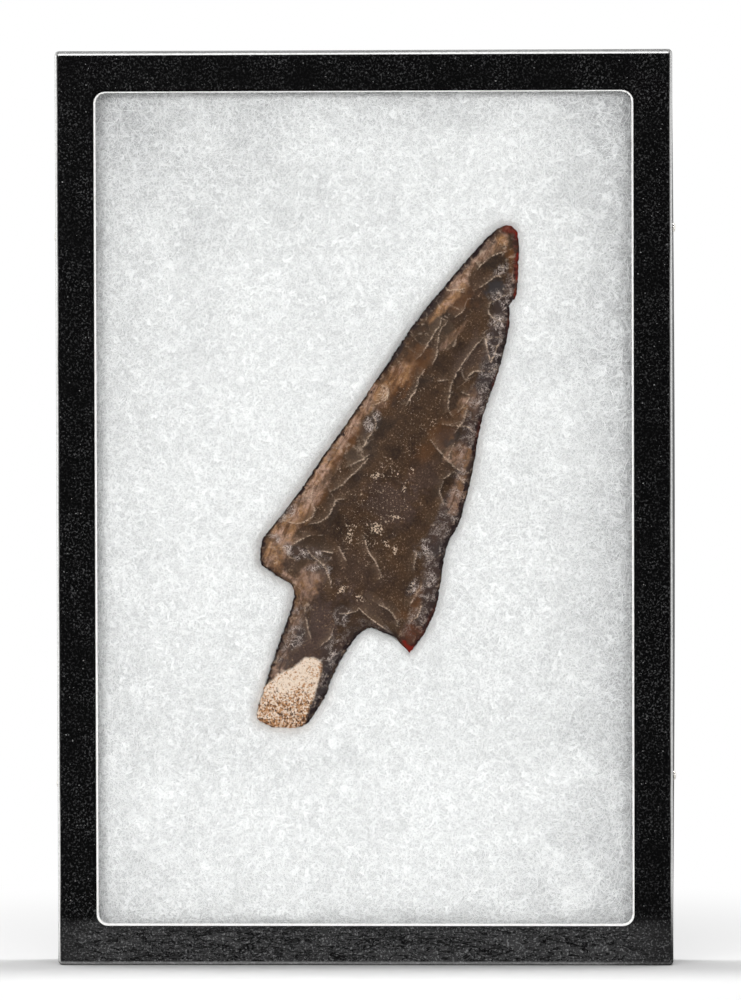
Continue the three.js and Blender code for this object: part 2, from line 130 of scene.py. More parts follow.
class Tree:
    # An empty node tree, and the nodes that the materials are made of
    def __init__(self, nodeTree):
        self.nodes = nodeTree.nodes
        self.links = nodeTree.links
        self.nodes.clear()

    def add(self, kind, settings=None, values=None, output=0):
        # One node: its settings first, then the values or links of its sockets
        node = self.nodes.new(kind)
        for name, value in (settings or {}).items():
            setattr(node, name, value)
        pairs = values.items() if isinstance(values, dict) else enumerate(values or [])
        for name, value in pairs:
            socket = node.inputs[name]
            if isinstance(value, Socket):
                self.links.new(value.link, socket)
            elif hasattr(value, "__len__") and len(value) == 3 and socket.type == "RGBA":
                socket.default_value = (*value, 1.0)
            else:
                socket.default_value = value
        return Socket(self, node.outputs[output]) if len(node.outputs) else node

    def place(self):
        return self.add("ShaderNodeTexCoord", output="Object")

    def attribute(self, name):
        return self.add("ShaderNodeAttribute", {"attribute_name": name}, output="Fac")

    def part(self, place, axis):
        return self.add("ShaderNodeSeparateXYZ", None, {"Vector": place}, axis)

    def stretched(self, place, scale, turn=(0, 0, 0), move=(0, 0, 0)):
        # Coordinates scaled, turned and moved; a scale below 1 draws the pattern out
        return self.add("ShaderNodeMapping", None,
                        {"Vector": place, "Scale": scale, "Rotation": turn, "Location": move})

    def alongTurn(self, place, turn, longer):
        # Coordinates of a frame turned about Y, with lengths along its Z made longer
        return self.add("ShaderNodeMapping", {"vector_type": "TEXTURE"},
                        {"Vector": place, "Rotation": (0, turn, 0), "Scale": (1, 1, longer)})

    def noise(self, place, scale, detail=2.0, roughness=0.5, distortion=0.0):
        return self.add("ShaderNodeTexNoise", None, {
            "Vector": place, "Scale": scale, "Detail": detail,
            "Roughness": roughness, "Distortion": distortion,
        })

    def cells(self, place, scale, feature="F1", output="Distance"):
        return self.add("ShaderNodeTexVoronoi", {"feature": feature},
                        {"Vector": place, "Scale": scale}, output)

    def blend(self, low, high, factor):
        # Colour mixed from low to high by the factor
        return self.add("ShaderNodeMix", {"data_type": "RGBA"}, {0: factor, 6: low, 7: high}, 2)

    def layered(self, colour, paint, layers):
        # Each layer's paint is laid over the colour by its amount, kept between 0 and its limit
        for name, amount, limit in layers:
            colour = self.blend(colour, paint[name], amount.most(0).least(limit))
        return colour

    def bump(self, height, distance, strength=1.0):
        return self.add("ShaderNodeBump", None,
                        {"Height": height, "Distance": distance, "Strength": strength})

    def lines(self, place, scale, width, detail=1.0, distortion=0.5):
        # Thin wandering lines: where smooth noise crosses its middle value
        crossing = (self.noise(place, scale, detail, 0.5, distortion) - 0.5).size()
        return crossing.smooth(width, 0.0)


def newMaterial(name):
    # A material, and its node tree to fill
    material = bpy.data.materials.new(name)
    material.use_nodes = True
    tree = Tree(material.node_tree)
    return material, tree


def finishMaterial(tree, values):
    # One Principled shader with these values or links, joined to the output
    shader = tree.add("ShaderNodeBsdfPrincipled", None, values)
    tree.add("ShaderNodeOutputMaterial", None, {"Surface": shader})


# Studio: a pale floor that fades into white, a plain sky and soft lamps

studio = {
    "skyLevel": 0.25,          # even light from all round
    "darkSide": 0.04,          # what glossy things see behind the camera
    "darkFrom": -0.75, "darkTo": 0.15,
    "floorColour": (0.72, 0.72, 0.72),
    "floorRadius": 0.9,
    "fadeFrom": 0.12, "fadeTo": 0.32,
    "lamps": [
        ("key_left", (-0.95, -1.55, 0.48), (0, 0, 0.20), (0.7, 0.6), 12.0),
        ("key_right", (1.05, -1.55, 0.34), (0, 0, 0.20), (0.7, 0.6), 8.0),
        ("front_high", (-0.1, -1.75, 0.95), (0, 0, 0.18), (1.2, 0.4), 11.6),
        ("strip_left", (-0.80, 0.05, 0.25), (0, 0, 0.16), (0.10, 0.8), 1.2),
        ("strip_right", (0.80, 0.05, 0.25), (0, 0, 0.16), (0.10, 0.8), 1.2),
        ("overhead", (0.0, 0.06, 1.00), (0, 0.06, 0), (0.8, 0.10), 8.6),
    ],
}


def addSky(values):
    # Plain white for the camera and through glass, dark behind the camera for glossy things, and
    # for all other light the even level of the sky
    world = bpy.data.worlds.new("studio_sky")
    bpy.context.scene.world = world
    world.use_nodes = True
    tree = Tree(world.node_tree)
    direction = tree.add("ShaderNodeTexCoord", output="Generated")
    beyond = tree.part(direction, "Y").smooth(values["darkFrom"], values["darkTo"])
    path = tree.add("ShaderNodeLightPath", output="Is Camera Ray")
    node = path.link.node
    mirrored = Socket(tree, node.outputs["Is Glossy Ray"])
    through = Socket(tree, node.outputs["Is Transmission Ray"])
    dark = values["darkSide"]
    seen = path.most(through).most(mirrored * (beyond * (1 - dark) + dark))
    isSeen = path.most(through).most(mirrored)
    level = seen + (1 - isSeen) * values["skyLevel"]
    sky = tree.add("ShaderNodeBackground", None, {"Color": (1, 1, 1), "Strength": level})
    tree.add("ShaderNodeOutputWorld", None, {"Surface": sky})


def addFloor(values):
    # A flat disc; its shader turns from lit floor to plain white away from the case
    mesh = bpy.data.meshes.new("floor")
    shape = bmesh.new()
    bmesh.ops.create_circle(shape, cap_ends=True, segments=96, radius=values["floorRadius"])
    shape.to_mesh(mesh)
    shape.free()
    floor = linked("floor", mesh)
    material, tree = newMaterial("pale_floor")
    length = tree.add("ShaderNodeVectorMath", {"operation": "LENGTH"}, [tree.place()], "Value")
    camera = tree.add("ShaderNodeLightPath", output="Is Camera Ray")
    away = length.smooth(values["fadeFrom"], values["fadeTo"]) * camera
    lit = tree.add("ShaderNodeBsdfDiffuse", None, {"Color": values["floorColour"]})
    white = tree.add("ShaderNodeEmission", None, {"Color": (1, 1, 1), "Strength": 1.0})
    mixed = tree.add("ShaderNodeMixShader", None, {0: away, 1: lit, 2: white})
    tree.add("ShaderNodeOutputMaterial", None, {"Surface": mixed})
    mesh.materials.append(material)


def addLamp(name, place, aim, size, watts):
    # A rectangular lamp whose -Z axis points from its place to its aim
    data = bpy.data.lights.new(name, "AREA")
    data.shape = "RECTANGLE"
    data.size, data.size_y = size
    data.energy = watts
    towards = Vector(aim) - Vector(place)
    turn = towards.to_track_quat("-Z", "Y").to_matrix().to_4x4()
    linked(name, data).matrix_world = Matrix.Translation(place) @ turn


addSky(studio)
addFloor(studio)
for lamp in studio["lamps"]:
    addLamp(*lamp)
print("camera, floor and lamps set")

# Mesh tools


def gridFaces(rows, columns, closeRows=False, closeColumns=False):
    # Quads between neighbouring rows and columns of a point grid, joined end to end where closed
    i = np.arange(rows if closeRows else rows - 1)[:, None]
    j = np.arange(columns if closeColumns else columns - 1)[None, :]
    below, beside = (i + 1) % rows, (j + 1) % columns
    corners = [i * columns + j, i * columns + beside, below * columns + beside, below * columns + j]
    return np.stack(np.broadcast_arrays(*corners), -1).reshape(-1, 4)


def signedVolume(points, faces):
    # Sum of the tetrahedra from the origin to each face, split into triangles
    first = points[faces[:, 0]]
    total = 0.0
    for k in range(1, faces.shape[1] - 1):
        pair = np.cross(points[faces[:, k]], points[faces[:, k + 1]])
        total += np.einsum("ij,ij->", first, pair)
    return total


def makePiece(name, points, faces, material, fields=None, merge=None, creaseAngle=None):
    # A mesh object at the origin from points in metres, faces outwards, smooth shaded
    points = np.asarray(points, float).reshape(-1, 3)
    if signedVolume(points, faces) < 0:
        faces = faces[:, ::-1]
    mesh = bpy.data.meshes.new(name)
    mesh.from_pydata(points.tolist(), [], faces.tolist())
    for field, values in (fields or {}).items():
        layer = mesh.attributes.new(field, "FLOAT", "POINT")
        layer.data.foreach_set("value", np.asarray(values, np.float32).ravel())
    if merge:
        shape = bmesh.new()
        shape.from_mesh(mesh)
        bmesh.ops.remove_doubles(shape, verts=shape.verts, dist=merge)
        bmesh.ops.dissolve_degenerate(shape, edges=shape.edges, dist=merge)
        shape.to_mesh(mesh)
        shape.free()
    mesh.polygons.foreach_set("use_smooth", np.ones(len(mesh.polygons), bool))
    mesh.update()
    if creaseAngle:
        mesh.set_sharp_from_angle(angle=np.radians(creaseAngle))
    mesh.materials.append(material)
    return linked(name, mesh)


def normalsOut(mesh):
    # Faces of a closed shell turned so that they all point outwards
    shape = bmesh.new()
    shape.from_mesh(mesh)
    bmesh.ops.recalc_face_normals(shape, faces=shape.faces)
    shape.to_mesh(mesh)
    shape.free()


def cloud(a, b, cell, seed):
    # Smooth noise from -1 to 1: random heights on a square lattice, eased between its corners
    side = 128
    table = np.random.RandomState(seed).uniform(-1, 1, (side, side))
    i, j = np.floor(a / cell).astype(int), np.floor(b / cell).astype(int)
    f, g = a / cell - i, b / cell - j
    f, g = f * f * (3 - 2 * f), g * g * (3 - 2 * g)
    left, right, lower, upper = i % side, (i + 1) % side, j % side, (j + 1) % side
    near = table[left, lower] * (1 - f) + table[right, lower] * f
    far = table[left, upper] * (1 - f) + table[right, upper] * f
    return near * (1 - g) + far * g


def eased(value, low, high):
    # 0 below low, 1 above high, smoothstep between
    share = np.clip((value - low) / (high - low), 0, 1)
    return share * share * (3 - 2 * share)


def ringCode(halfX, halfZ, spacing, cornerSteps):
    # A rounded rectangle told by four numbers a point: which corner centre it hangs on, from
    # -1 to 1 each way, and the outward direction there
    signs = [(1, 1), (-1, 1), (-1, -1), (1, -1)]
    parts = []
    for k in range(4):
        angle = np.linspace(k, k + 1, cornerSteps + 1) * np.pi / 2
        here, after = np.array(signs[k]), np.array(signs[(k + 1) % 4])
        corner = np.column_stack([np.tile(here, (len(angle), 1)), np.cos(angle), np.sin(angle)])
        side = 2 * (halfX if here[0] != after[0] else halfZ)
        share = np.linspace(0, 1, int(round(side / spacing)) + 1)[1:-1, None]
        along = here + (after - here) * share
        facing = np.tile([np.cos(angle[-1]), np.sin(angle[-1])], (len(share), 1))
        parts += [corner, np.column_stack([along, facing])]
    return np.vstack(parts)


def sweptRings(code, path):
    # Each path row (half width, half height, corner radius, depth) becomes one ring of points
    halfX, halfZ, radius, depth = path.T
    u, v, c, s = code.T
    x = u * (halfX - radius)[:, None] + radius[:, None] * c
    z = v * (halfZ - radius)[:, None] + radius[:, None] * s
    return np.stack([x, np.broadcast_to(depth[:, None], x.shape), z], -1)


def cutOut(piece, cutters):
    # Boolean difference, applied at once; the cutters are removed
    for cutter in cutters:
        modifier = piece.modifiers.new("cut", "BOOLEAN")
        modifier.operation = "DIFFERENCE"
        modifier.solver = "EXACT"
        modifier.object = cutter
    graph = bpy.context.evaluated_depsgraph_get()
    mesh = bpy.data.meshes.new_from_object(piece.evaluated_get(graph))
    piece.modifiers.clear()
    piece.data = mesh
    for cutter in cutters:
        bpy.data.objects.remove(cutter)


def capsule(name, spanX, section, radius, sides=24):
    # A bar along X. Its section is a circle of the radius, drawn out from one depth to another
    # where section = (near depth, far depth, height).
    near, far, height = section
    angle = np.linspace(0, 2 * np.pi, sides, endpoint=False) + np.pi / sides
    centre = np.where(np.cos(angle) > 0, max(near, far), min(near, far))
    outline = np.column_stack([centre + radius * np.cos(angle), height + radius * np.sin(angle)])
    rings = [np.column_stack([np.full(sides, x), outline]) for x in spanX]
    points = np.vstack(rings) * mm
    mesh = bpy.data.meshes.new(name)
    around = gridFaces(2, sides, closeColumns=True).tolist()
    ends = [list(range(sides))[::-1], list(range(sides, 2 * sides))]
    mesh.from_pydata(points.tolist(), [], around + ends)
    normalsOut(mesh)
    return linked(name, mesh)


# Black covering paper with its pebble grain, on lid and tray

leatherLook = {
    "colour": (0.0008, 0.0008, 0.0009), "wornAndLit": (0.060, 0.060, 0.061),
    "grain": 1150, "fineGrain": 1350, "glints": 1100, "clouds": 75, "grainDepth": 0.00006,
    "creasedBelow": 0.0145, "lowColour": (0.034, 0.034, 0.0345), "lowWornAndLit": (0.150, 0.150, 0.152),
    "longCrease": (330, 0.036), "shortCrease": (620, 0.050),    # pattern scale and line width
    "darkRight": (0.084, 0.104), "darkLeft": (-0.091, -0.104),  # lower corners, from and to
    # Of these colours the near-white one paints the folds' highlight, the light grey one the
    # grain's glints
    "fold": (0.82, 0.82, 0.81), "glint": (0.26, 0.26, 0.26),
}


def leatherette(name, look, creased):
    # Pebbles are rounded cells parted by valleys, with their tops painted paler, partly as rubbing
    # and partly as painted sheen, and pale specks painted as glints. The folds carry a near-white
    # painted highlight, and the lid's lower border is painted lighter, partly as a reflection of
    # the floor and partly as wear, and has long jagged creases.
    material, tree = newMaterial(name)
    place = tree.place()
    pebbles = tree.cells(place, look["grain"], "SMOOTH_F1")
    pores = tree.noise(place, look["fineGrain"], 2.0, 0.65, 0.6)
    broad = tree.noise(place, look["clouds"], 3.0, 0.6)
    fold = tree.attribute("fold")
    height = (1 - pebbles) * 1.2 + pores * 0.6
    # The pebble tops are painted paler, partly as rubbing and partly as painted sheen, and light
    # specks paint the glints of the grain
    rubbedAndLit = pores.smooth(0.52, 0.67)
    glints = tree.noise(place, look["glints"], 1.0, 0.5).smooth(0.74, 0.79)
    wearAndSheen = rubbedAndLit * (0.10 + broad.smooth(0.2, 0.8) * 0.9)
    colour = tree.blend(look["colour"], look["wornAndLit"], wearAndSheen)
    colour = tree.blend(colour, look["glint"], glints * 0.8)
    if creased:
        long = tree.stretched(place, (0.30, 0.5, 1.0), (0, 0.02, 0))
        kept = tree.noise(long, 120, 2.0, 0.6)
        jag = tree.lines(long, *look["longCrease"], 3.5, 1.6) * kept.smooth(0.40, 0.48)
        fine = tree.lines(long, *look["shortCrease"], 3.0, 1.2) * kept.smooth(0.60, 0.52)
        jag = jag.most(fine)
        # The lower border is painted lighter, partly as a reflection of the floor and partly as
        # wear, less so towards the lower corners; along the creases it keeps the black
        level, sideways = tree.part(place, "Z"), tree.part(place, "X")
        leftDark = sideways.smooth(*look["darkLeft"]) * 0.8
        cornered = sideways.smooth(*look["darkRight"]).most(leftDark)
        low = (level + broad * 0.008).smooth(look["creasedBelow"] + 0.007, look["creasedBelow"])
        low = low * (1 - cornered * 0.6)
        height = height - jag * low * 2.5
        dull = tree.blend(look["lowColour"], look["lowWornAndLit"], rubbedAndLit)
        colour = tree.blend(colour, dull, low)
        colour = tree.blend(colour, look["colour"], jag * low)
    # The folds are painted near white, a painted highlight where the lamps would be reflected; the
    # coat adds real gloss there
    colour = tree.blend(colour, look["fold"], fold * (0.45 + pores).least(1))
    finishMaterial(tree, {
        "Base Color": colour,
        "Roughness": 0.44 - broad.smooth(0.35, 0.7) * 0.08,
        "Specular IOR Level": 0.025,
        "Coat Weight": fold, "Coat Roughness": 0.25, "Coat IOR": 1.6,
        "Normal": tree.bump(height, look["grainDepth"]),
    })
    return material


lidLeather = leatherette("black_leatherette_lid", leatherLook, True)
trayLeather = leatherette("black_leatherette_tray", leatherLook, False)

# The covering sheets of lid and tray, in millimetres. Each is carried round the case as rings.
# The window has half its width, half its height and its corner radius, faceY and rimY are where
# the sheet starts and turns in, and fold is the radius of the long folds.

# Each sheet below also sets the strength of the painted highlight on its folds
lidSheet = {
    "halfX": 104.8, "halfZ": caseMiddle, "corner": 1.5, "fold": 1.6,
    "faceY": -11.1, "rimY": 10.5, "wall": 2.47, "turnIn": 9.0, "thick": 0.3,
    "window": (91.62, 141.95, 3.9), "windowDrop": 0.58, "windowLow": 0.17, "highlightStrength": 1.0,
    "bow": 0.85,              # the long walls belly outwards at the rim
    "spacing": 1.6,
}
traySheet = {
    "halfX": 101.63, "halfZ": 152.43, "corner": 1.5, "fold": 1.6,
    "faceY": 11.1, "rimY": -6.36, "wall": 2.47, "turnIn": 9.0, "thick": 0.3,
    "window": None, "windowLow": 0, "highlightStrength": 0.35, "bow": 0.0, "spacing": 2.0,
}
paperPlay = {
    "uneven": 0.07, "broadLumps": 17, "smallLumps": 5,
    "windowEdge": (91.6, 141.9), "lowTo": (1, 6),      # the low window's pull ends past its edge
    "flapStep": 0.16, "flapFrom": (9.0, 9.4),          # tucked corner flaps make the ends thicker
}


def sheetPath(values, inset):
    # One side of the sheet from the middle of the face over the fold, down the wall, over the
    # rim and up inside. inset 0 is the outer side, and the sheet's thickness is the inner one.
    away = np.sign(values["rimY"] - values["faceY"])
    halfX, halfZ, corner = values["halfX"], values["halfZ"], values["corner"]
    fold, rim, turned = values["fold"], 0.5, values["wall"]
    sharpest = 0.25                                  # corner radius that a ring doesn't go below
    rounded, roundedDepth, flatFrom = 0.05, 0.16, 0.18       # of the window's cut edge
    faceY = values["faceY"] + away * inset
    wallFrom, wallTo = values["faceY"] + away * fold, values["rimY"] - away * rim
    turnTo = values["rimY"] - away * values["turnIn"]
    rows = []

    def ring(drop, depth):
        rows.append((halfX - drop, halfZ - drop, max(corner - drop, sharpest), depth))

    if values["window"]:
        cutX, cutZ, cutRadius = (size + inset for size in values["window"])
        edge = values["faceY"] + away * values["windowDrop"]
        rows.append((cutX, cutZ, cutRadius, edge))
        if not inset:
            rows.append((cutX, cutZ, cutRadius, faceY + away * roundedDepth))
            rows.append((cutX + rounded, cutZ + rounded, cutRadius, faceY + away * rounded))
        start = np.array([cutX + flatFrom, cutZ + flatFrom, cutRadius])
        steps = 18
    else:
        start = np.array([0.0, halfZ - halfX, 0.0])
        steps = 40
    end = np.array([halfX - fold, halfZ - fold, sharpest])
    for share in np.linspace(0, 1, steps):
        rows.append((*(start + (end - start) * share), faceY))
    for angle in np.radians(np.linspace(9, 81, 8)):
        radius = fold - inset
        depth = fold - radius * np.cos(angle)
        ring(fold - radius * np.sin(angle), values["faceY"] + away * depth)
    for share in np.linspace(0, 1, 14):
        ring(inset, wallFrom + (wallTo - wallFrom) * share)
    for centre, spread in ((rim, (20, 90)), (turned - rim, (90, 160))):
        for angle in np.radians(np.linspace(*spread, 4)):
            radius = rim - inset
            depth = rim - radius * np.sin(angle)
            ring(centre - radius * np.cos(angle), values["rimY"] - away * depth)
    for share in np.linspace(0, 1, 6):
        ring(turned - inset, wallTo + (turnTo - wallTo) * share)
    return np.array(rows)


def loosened(points, values):
    # The wrapped paper is not a perfect box: its face lies a little uneven, the long walls
    # belly out towards the rim, and the walls step down where the tucked corner flaps end.
    x, y, z = points[..., 0].copy(), points[..., 1].copy(), points[..., 2].copy()
    away = np.sign(values["rimY"] - values["faceY"])
    onFace = np.abs(y - values["faceY"]) < 0.45
    lumps = 0.35 * cloud(x, z, paperPlay["broadLumps"], 3)
    uneven = 0.5 + lumps + 0.15 * cloud(x, z, paperPlay["smallLumps"], 4)
    y += np.where(onFace, away * paperPlay["uneven"] * uneven, 0)
    edgeX, edgeZ = paperPlay["windowEdge"]
    fromWindow = np.maximum(np.abs(x) - edgeX, np.abs(z) - edgeZ)
    z -= values["windowLow"] * (1 - eased(fromWindow, *paperPlay["lowTo"]))
    down = eased(np.abs(y - values["faceY"]), 2, abs(values["rimY"] - values["faceY"]))
    outer = eased(np.abs(x), values["halfX"] - 1.4, values["halfX"] - 0.2)
    belly = np.clip(1 - (z / values["halfZ"]) ** 2, 0, 1) ** 1.2
    x += np.sign(x) * values["bow"] * down * outer * belly
    shallow = eased(np.abs(y - values["faceY"]), 1.2, 2.4)
    onEnd = eased(np.abs(z), values["halfZ"] - 0.3, values["halfZ"] - 0.1)
    beyondFlap = eased(values["halfX"] - np.abs(x), *paperPlay["flapFrom"])
    z -= np.sign(z) * paperPlay["flapStep"] * onEnd * beyondFlap * shallow
    return np.stack([x, y, z], -1)


# Painted highlight lines along the folds: where they begin and end, as shares of the fold or
# depths in millimetres, how strong they are, and the stretches in millimetres over which they
# come and go
foldHighlightLines = {
    "wander": (0.05, 19),
    "topStart": (0, 0.14), "topEnd": (0.32, 0.52), "topLoss": 0.84, "topDepth": (1.3, 1.9),
    "sideStart": (0.42, 0.62), "sideDepth": (0.9, 1.4), "side": 0.9,
    "rightLevel": 0.74, "rightFrom": (3, 32), "leftLoss": 0.3, "leftFrom": (1, 12),
    "low": 0.29, "lowMiddle": 0.52, "lowWidth": 0.30, "lowLoss": 0.75, "lowEnd": (70, 100),
}


def burnished(values, path, code, rings, look):
    # The painted highlight line is told over the share of the fold that a view from the
    # front sees: share = sqrt(1 - (1 - depth / fold)^2). It lies next to the face on the top edge,
    # next to the wall on the long sides, and is a weak bell on the edge the case stands on. It
    # fades towards the lower corners, more so on the right.
    depth = np.abs(path[:, 3] - values["faceY"])[:, None]
    share = np.sqrt(1 - (1 - np.clip(depth / values["fold"], 0, 1)) ** 2)
    across, along = rings[..., 0], rings[..., 2] + values["halfZ"]
    onTop, below = np.clip(code[None, :, 3], 0, 1), np.clip(-code[None, :, 3], 0, 1)
    swing, length = look["wander"]
    share = share + swing * cloud(across + rings[..., 2], rings[..., 2], length, 7)
    top = eased(share, *look["topStart"]) * (1 - look["topLoss"] * eased(share, *look["topEnd"]))
    top = top * (1 - eased(depth, *look["topDepth"]))
    side = eased(share, *look["sideStart"]) * (1 - eased(depth, *look["sideDepth"]))
    right = look["rightLevel"] * eased(along, *look["rightFrom"])
    left = 1 - look["leftLoss"] + look["leftLoss"] * eased(along, *look["leftFrom"])
    side = side * np.where(across > 0, right, left)
    low = look["low"] * np.exp(-((share - look["lowMiddle"]) / look["lowWidth"]) ** 2)
    low = low * (1 - look["lowLoss"] * eased(across, *look["lowEnd"]))
    line = top * onTop + look["side"] * side * (1 - onTop - below) + low * below
    return line * values["highlightStrength"]


def coveringPiece(name, values, material):
    # The sheet's outer side and, in the opposite order, its inner side, carried round the case
    outside, inside = sheetPath(values, 0), sheetPath(values, values["thick"])
    path = np.vstack([outside, inside[::-1]])
    code = ringCode(values["halfX"], values["halfZ"], values["spacing"], 6)
    rings = sweptRings(code, path)
    points = loosened(rings, values)
    points[..., 2] += caseMiddle
    atSide = (np.abs(path[:, 0] - values["halfX"]) < values["fold"] - 0.01)
    atSide &= np.arange(len(path)) < len(outside)
    fold = burnished(values, path, code, rings, foldHighlightLines) * atSide[:, None]
    closed = values["window"] is not None
    faces = gridFaces(len(path), len(code), closeRows=closed, closeColumns=True)
    return makePiece(name, points * mm, faces, material, {"fold": fold}, merge=1e-6, creaseAngle=50)


pinSpots = {
    "pin_upper_left": (-1, 248.2), "pin_lower_left": (-1, 61.4),
    "pin_upper_right": (1, 250.9), "pin_lower_right": (1, 64.1),
}

# Holes through the lid's wall, and slots through the tray's that open at its rim
pinHoles = {"radius": 0.75, "throughLid": (101, 107), "throughTray": (97, 103), "mouth": -9}


def pinCutters(span, depths):
    # One cutter a pin, along X over the span and as long in depth as a hole or slot needs
    return [capsule("hole", sorted((side * span[0], side * span[1])), (*depths, z),
                    pinHoles["radius"]) for side, z in pinSpots.values()]


lidCover = coveringPiece("lid_leatherette", lidSheet, lidLeather)
cutOut(lidCover, pinCutters(pinHoles["throughLid"], (0, 0)))
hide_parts("lid_wrap")
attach(lidCover, "lid")

trayCover = coveringPiece("tray_leatherette", traySheet, trayLeather)
cutOut(trayCover, pinCutters(pinHoles["throughTray"], (pinHoles["mouth"], 0)))
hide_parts("tray_wrap")
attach(trayCover, "tray")
print("coverings made:", len(lidCover.data.polygons), len(trayCover.data.polygons))

# Closing pins: a low dome head with a soft rim and a pointed shank, turned about X

pinShape = {"headRadius": 1.6, "headHeight": 0.9, "shank": 0.45, "length": 12.0, "tip": 1.6,
            "seat": 105.0, "rim": 0.22}
pinLook = {"plate": (0.80, 0.78, 0.74), "dull": (0.62, 0.59, 0.54), "scuffs": 5200, "clouds": 1400}


def pinMaterial(look):
    # Bright plate with dull clouds, and scuffs that run round the shank
    material, tree = newMaterial("nickel_plate")
    place = tree.place()
    scuffs = tree.noise(tree.stretched(place, (1, 0.3, 0.3)), look["scuffs"], 3.0, 0.6)
    dull = tree.noise(place, look["clouds"], 2.0, 0.5).smooth(0.4, 0.7)
    finishMaterial(tree, {
        "Base Color": tree.blend(look["plate"], look["dull"], dull),
        "Metallic": 1.0,
        "Roughness": 0.20 + scuffs * 0.16,
        "Normal": tree.bump(scuffs, 0.00001),
    })
    return material


def turnedPin(name, side, z, values, material):
    # Profile points (distance out along X, radius) turned round the pin's axis
    angle = np.linspace(0, np.pi / 2, 12)
    domeX = values["rim"] + (values["headHeight"] - values["rim"]) * np.sin(angle)
    dome = np.column_stack([domeX, values["headRadius"] * np.cos(angle) ** 0.8])
    under = [(-values["length"], 0.0), (-values["length"] + values["tip"], values["shank"]),
             (-values["length"] + 2 * values["tip"], values["shank"]), (-0.01, values["shank"]),
             (0.0, values["shank"] + 0.05), (0.0, values["headRadius"] - 0.08),
             (0.06, values["headRadius"])]
    profile = np.vstack([under, dome])
    turn = np.linspace(0, 2 * np.pi, 40, endpoint=False)
    x = np.broadcast_to(profile[:, :1], (len(profile), len(turn)))
    y, zUp = profile[:, 1:] * np.cos(turn), profile[:, 1:] * np.sin(turn)
    points = np.stack([side * (values["seat"] + x), y, z + zUp], -1)
    faces = gridFaces(len(profile), len(turn), closeColumns=True)
    return makePiece(name, points * mm, faces, material, merge=1e-7, creaseAngle=40)


nickel = pinMaterial(pinLook)
for node, (side, z) in pinSpots.items():
    pin = turnedPin("closing_" + node, side, z, pinShape, nickel)
    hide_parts(node)
    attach(pin, node)
print("pins turned")

# Stone point, in millimetres in its own plane: across, along and thickness. Its outline is
# left and right runs of (across, along, rib), where rib is the place on the spine it leads to.

stone = {
    "thickness": 11.0, "edge": 0.6, "lean": 24.2, "middle": 94.3,
    "place": (10.0, -1.13, 166.6),
    "rows": 610, "columns": 70, "backColumns": 10, "outlineRows": 220,
    "spine": (-1.2, 1.8, 62),                  # mean place across, swing and slowness
    "fullWidth": 24, "leastShare": 0.25,       # where the stone is narrow, scars are shallower
    "ripple": (0.022, 1.9),                    # height and spacing of the rings in a scar
    "arrisHeight": 0.12, "crustEdge": 2.4,
    "ribSpacing": 1.08, "swell": (2.1, 0.8),   # points gather at the margins; the blank's profile
    "lumps": (0.05, 2.2), "pimples": (0.03, 0.9),      # height and width
    "tip": 188.0, "tipTaper": (-30, 105), "baseTaper": (-34, 62),
}
leftRuns = [
    [(1.6, 188.4, 183), (-1.2, 187, 182.3), (-4.7, 180.2, 178), (-10.7, 161, 160),
     (-15, 144.6, 144), (-18.4, 125, 124.5), (-22, 106, 106), (-25.4, 89, 90), (-27.3, 77.5, 79),
     (-30.6, 63.5, 68), (-32.4, 55.5, 61), (-29.5, 47.5, 55)],
    [(-29.5, 47.5, 55), (-21.4, 46.1, 50), (-16.3, 45.4, 46), (-14, 39.5, 39.5), (-12.7, 25, 25),
     (-10.4, 1.7, 7)],
    [(-10.4, 1.7, 7), (-8.5, -1, 6.5), (-3, -1.4, 6)],
]
rightRuns = [
    [(1.6, 188.4, 183), (4.6, 187.4, 182.3), (6.5, 184.2, 181), (9.3, 178, 177),
     (13.2, 167.5, 167), (12.5, 163.2, 162), (15.5, 156, 155), (18.2, 140.5, 140), (20, 123, 123),
     (23.8, 107.6, 107.6), (27, 90, 91), (26.5, 82, 85), (27.5, 75, 79), (31.4, 60, 69),
     (31.6, 49, 64), (29.7, 40.7, 60)],
    [(29.7, 40.7, 60), (25, 43.3, 55), (19.3, 43.6, 50), (13.5, 42.8, 44.5), (10.4, 37, 38),
     (9, 25, 25), (9.4, 15, 15), (7.8, 4.8, 8)],
    [(7.8, 4.8, 8), (4.7, 1.7, 6.5), (-3, -1.4, 6)],
]

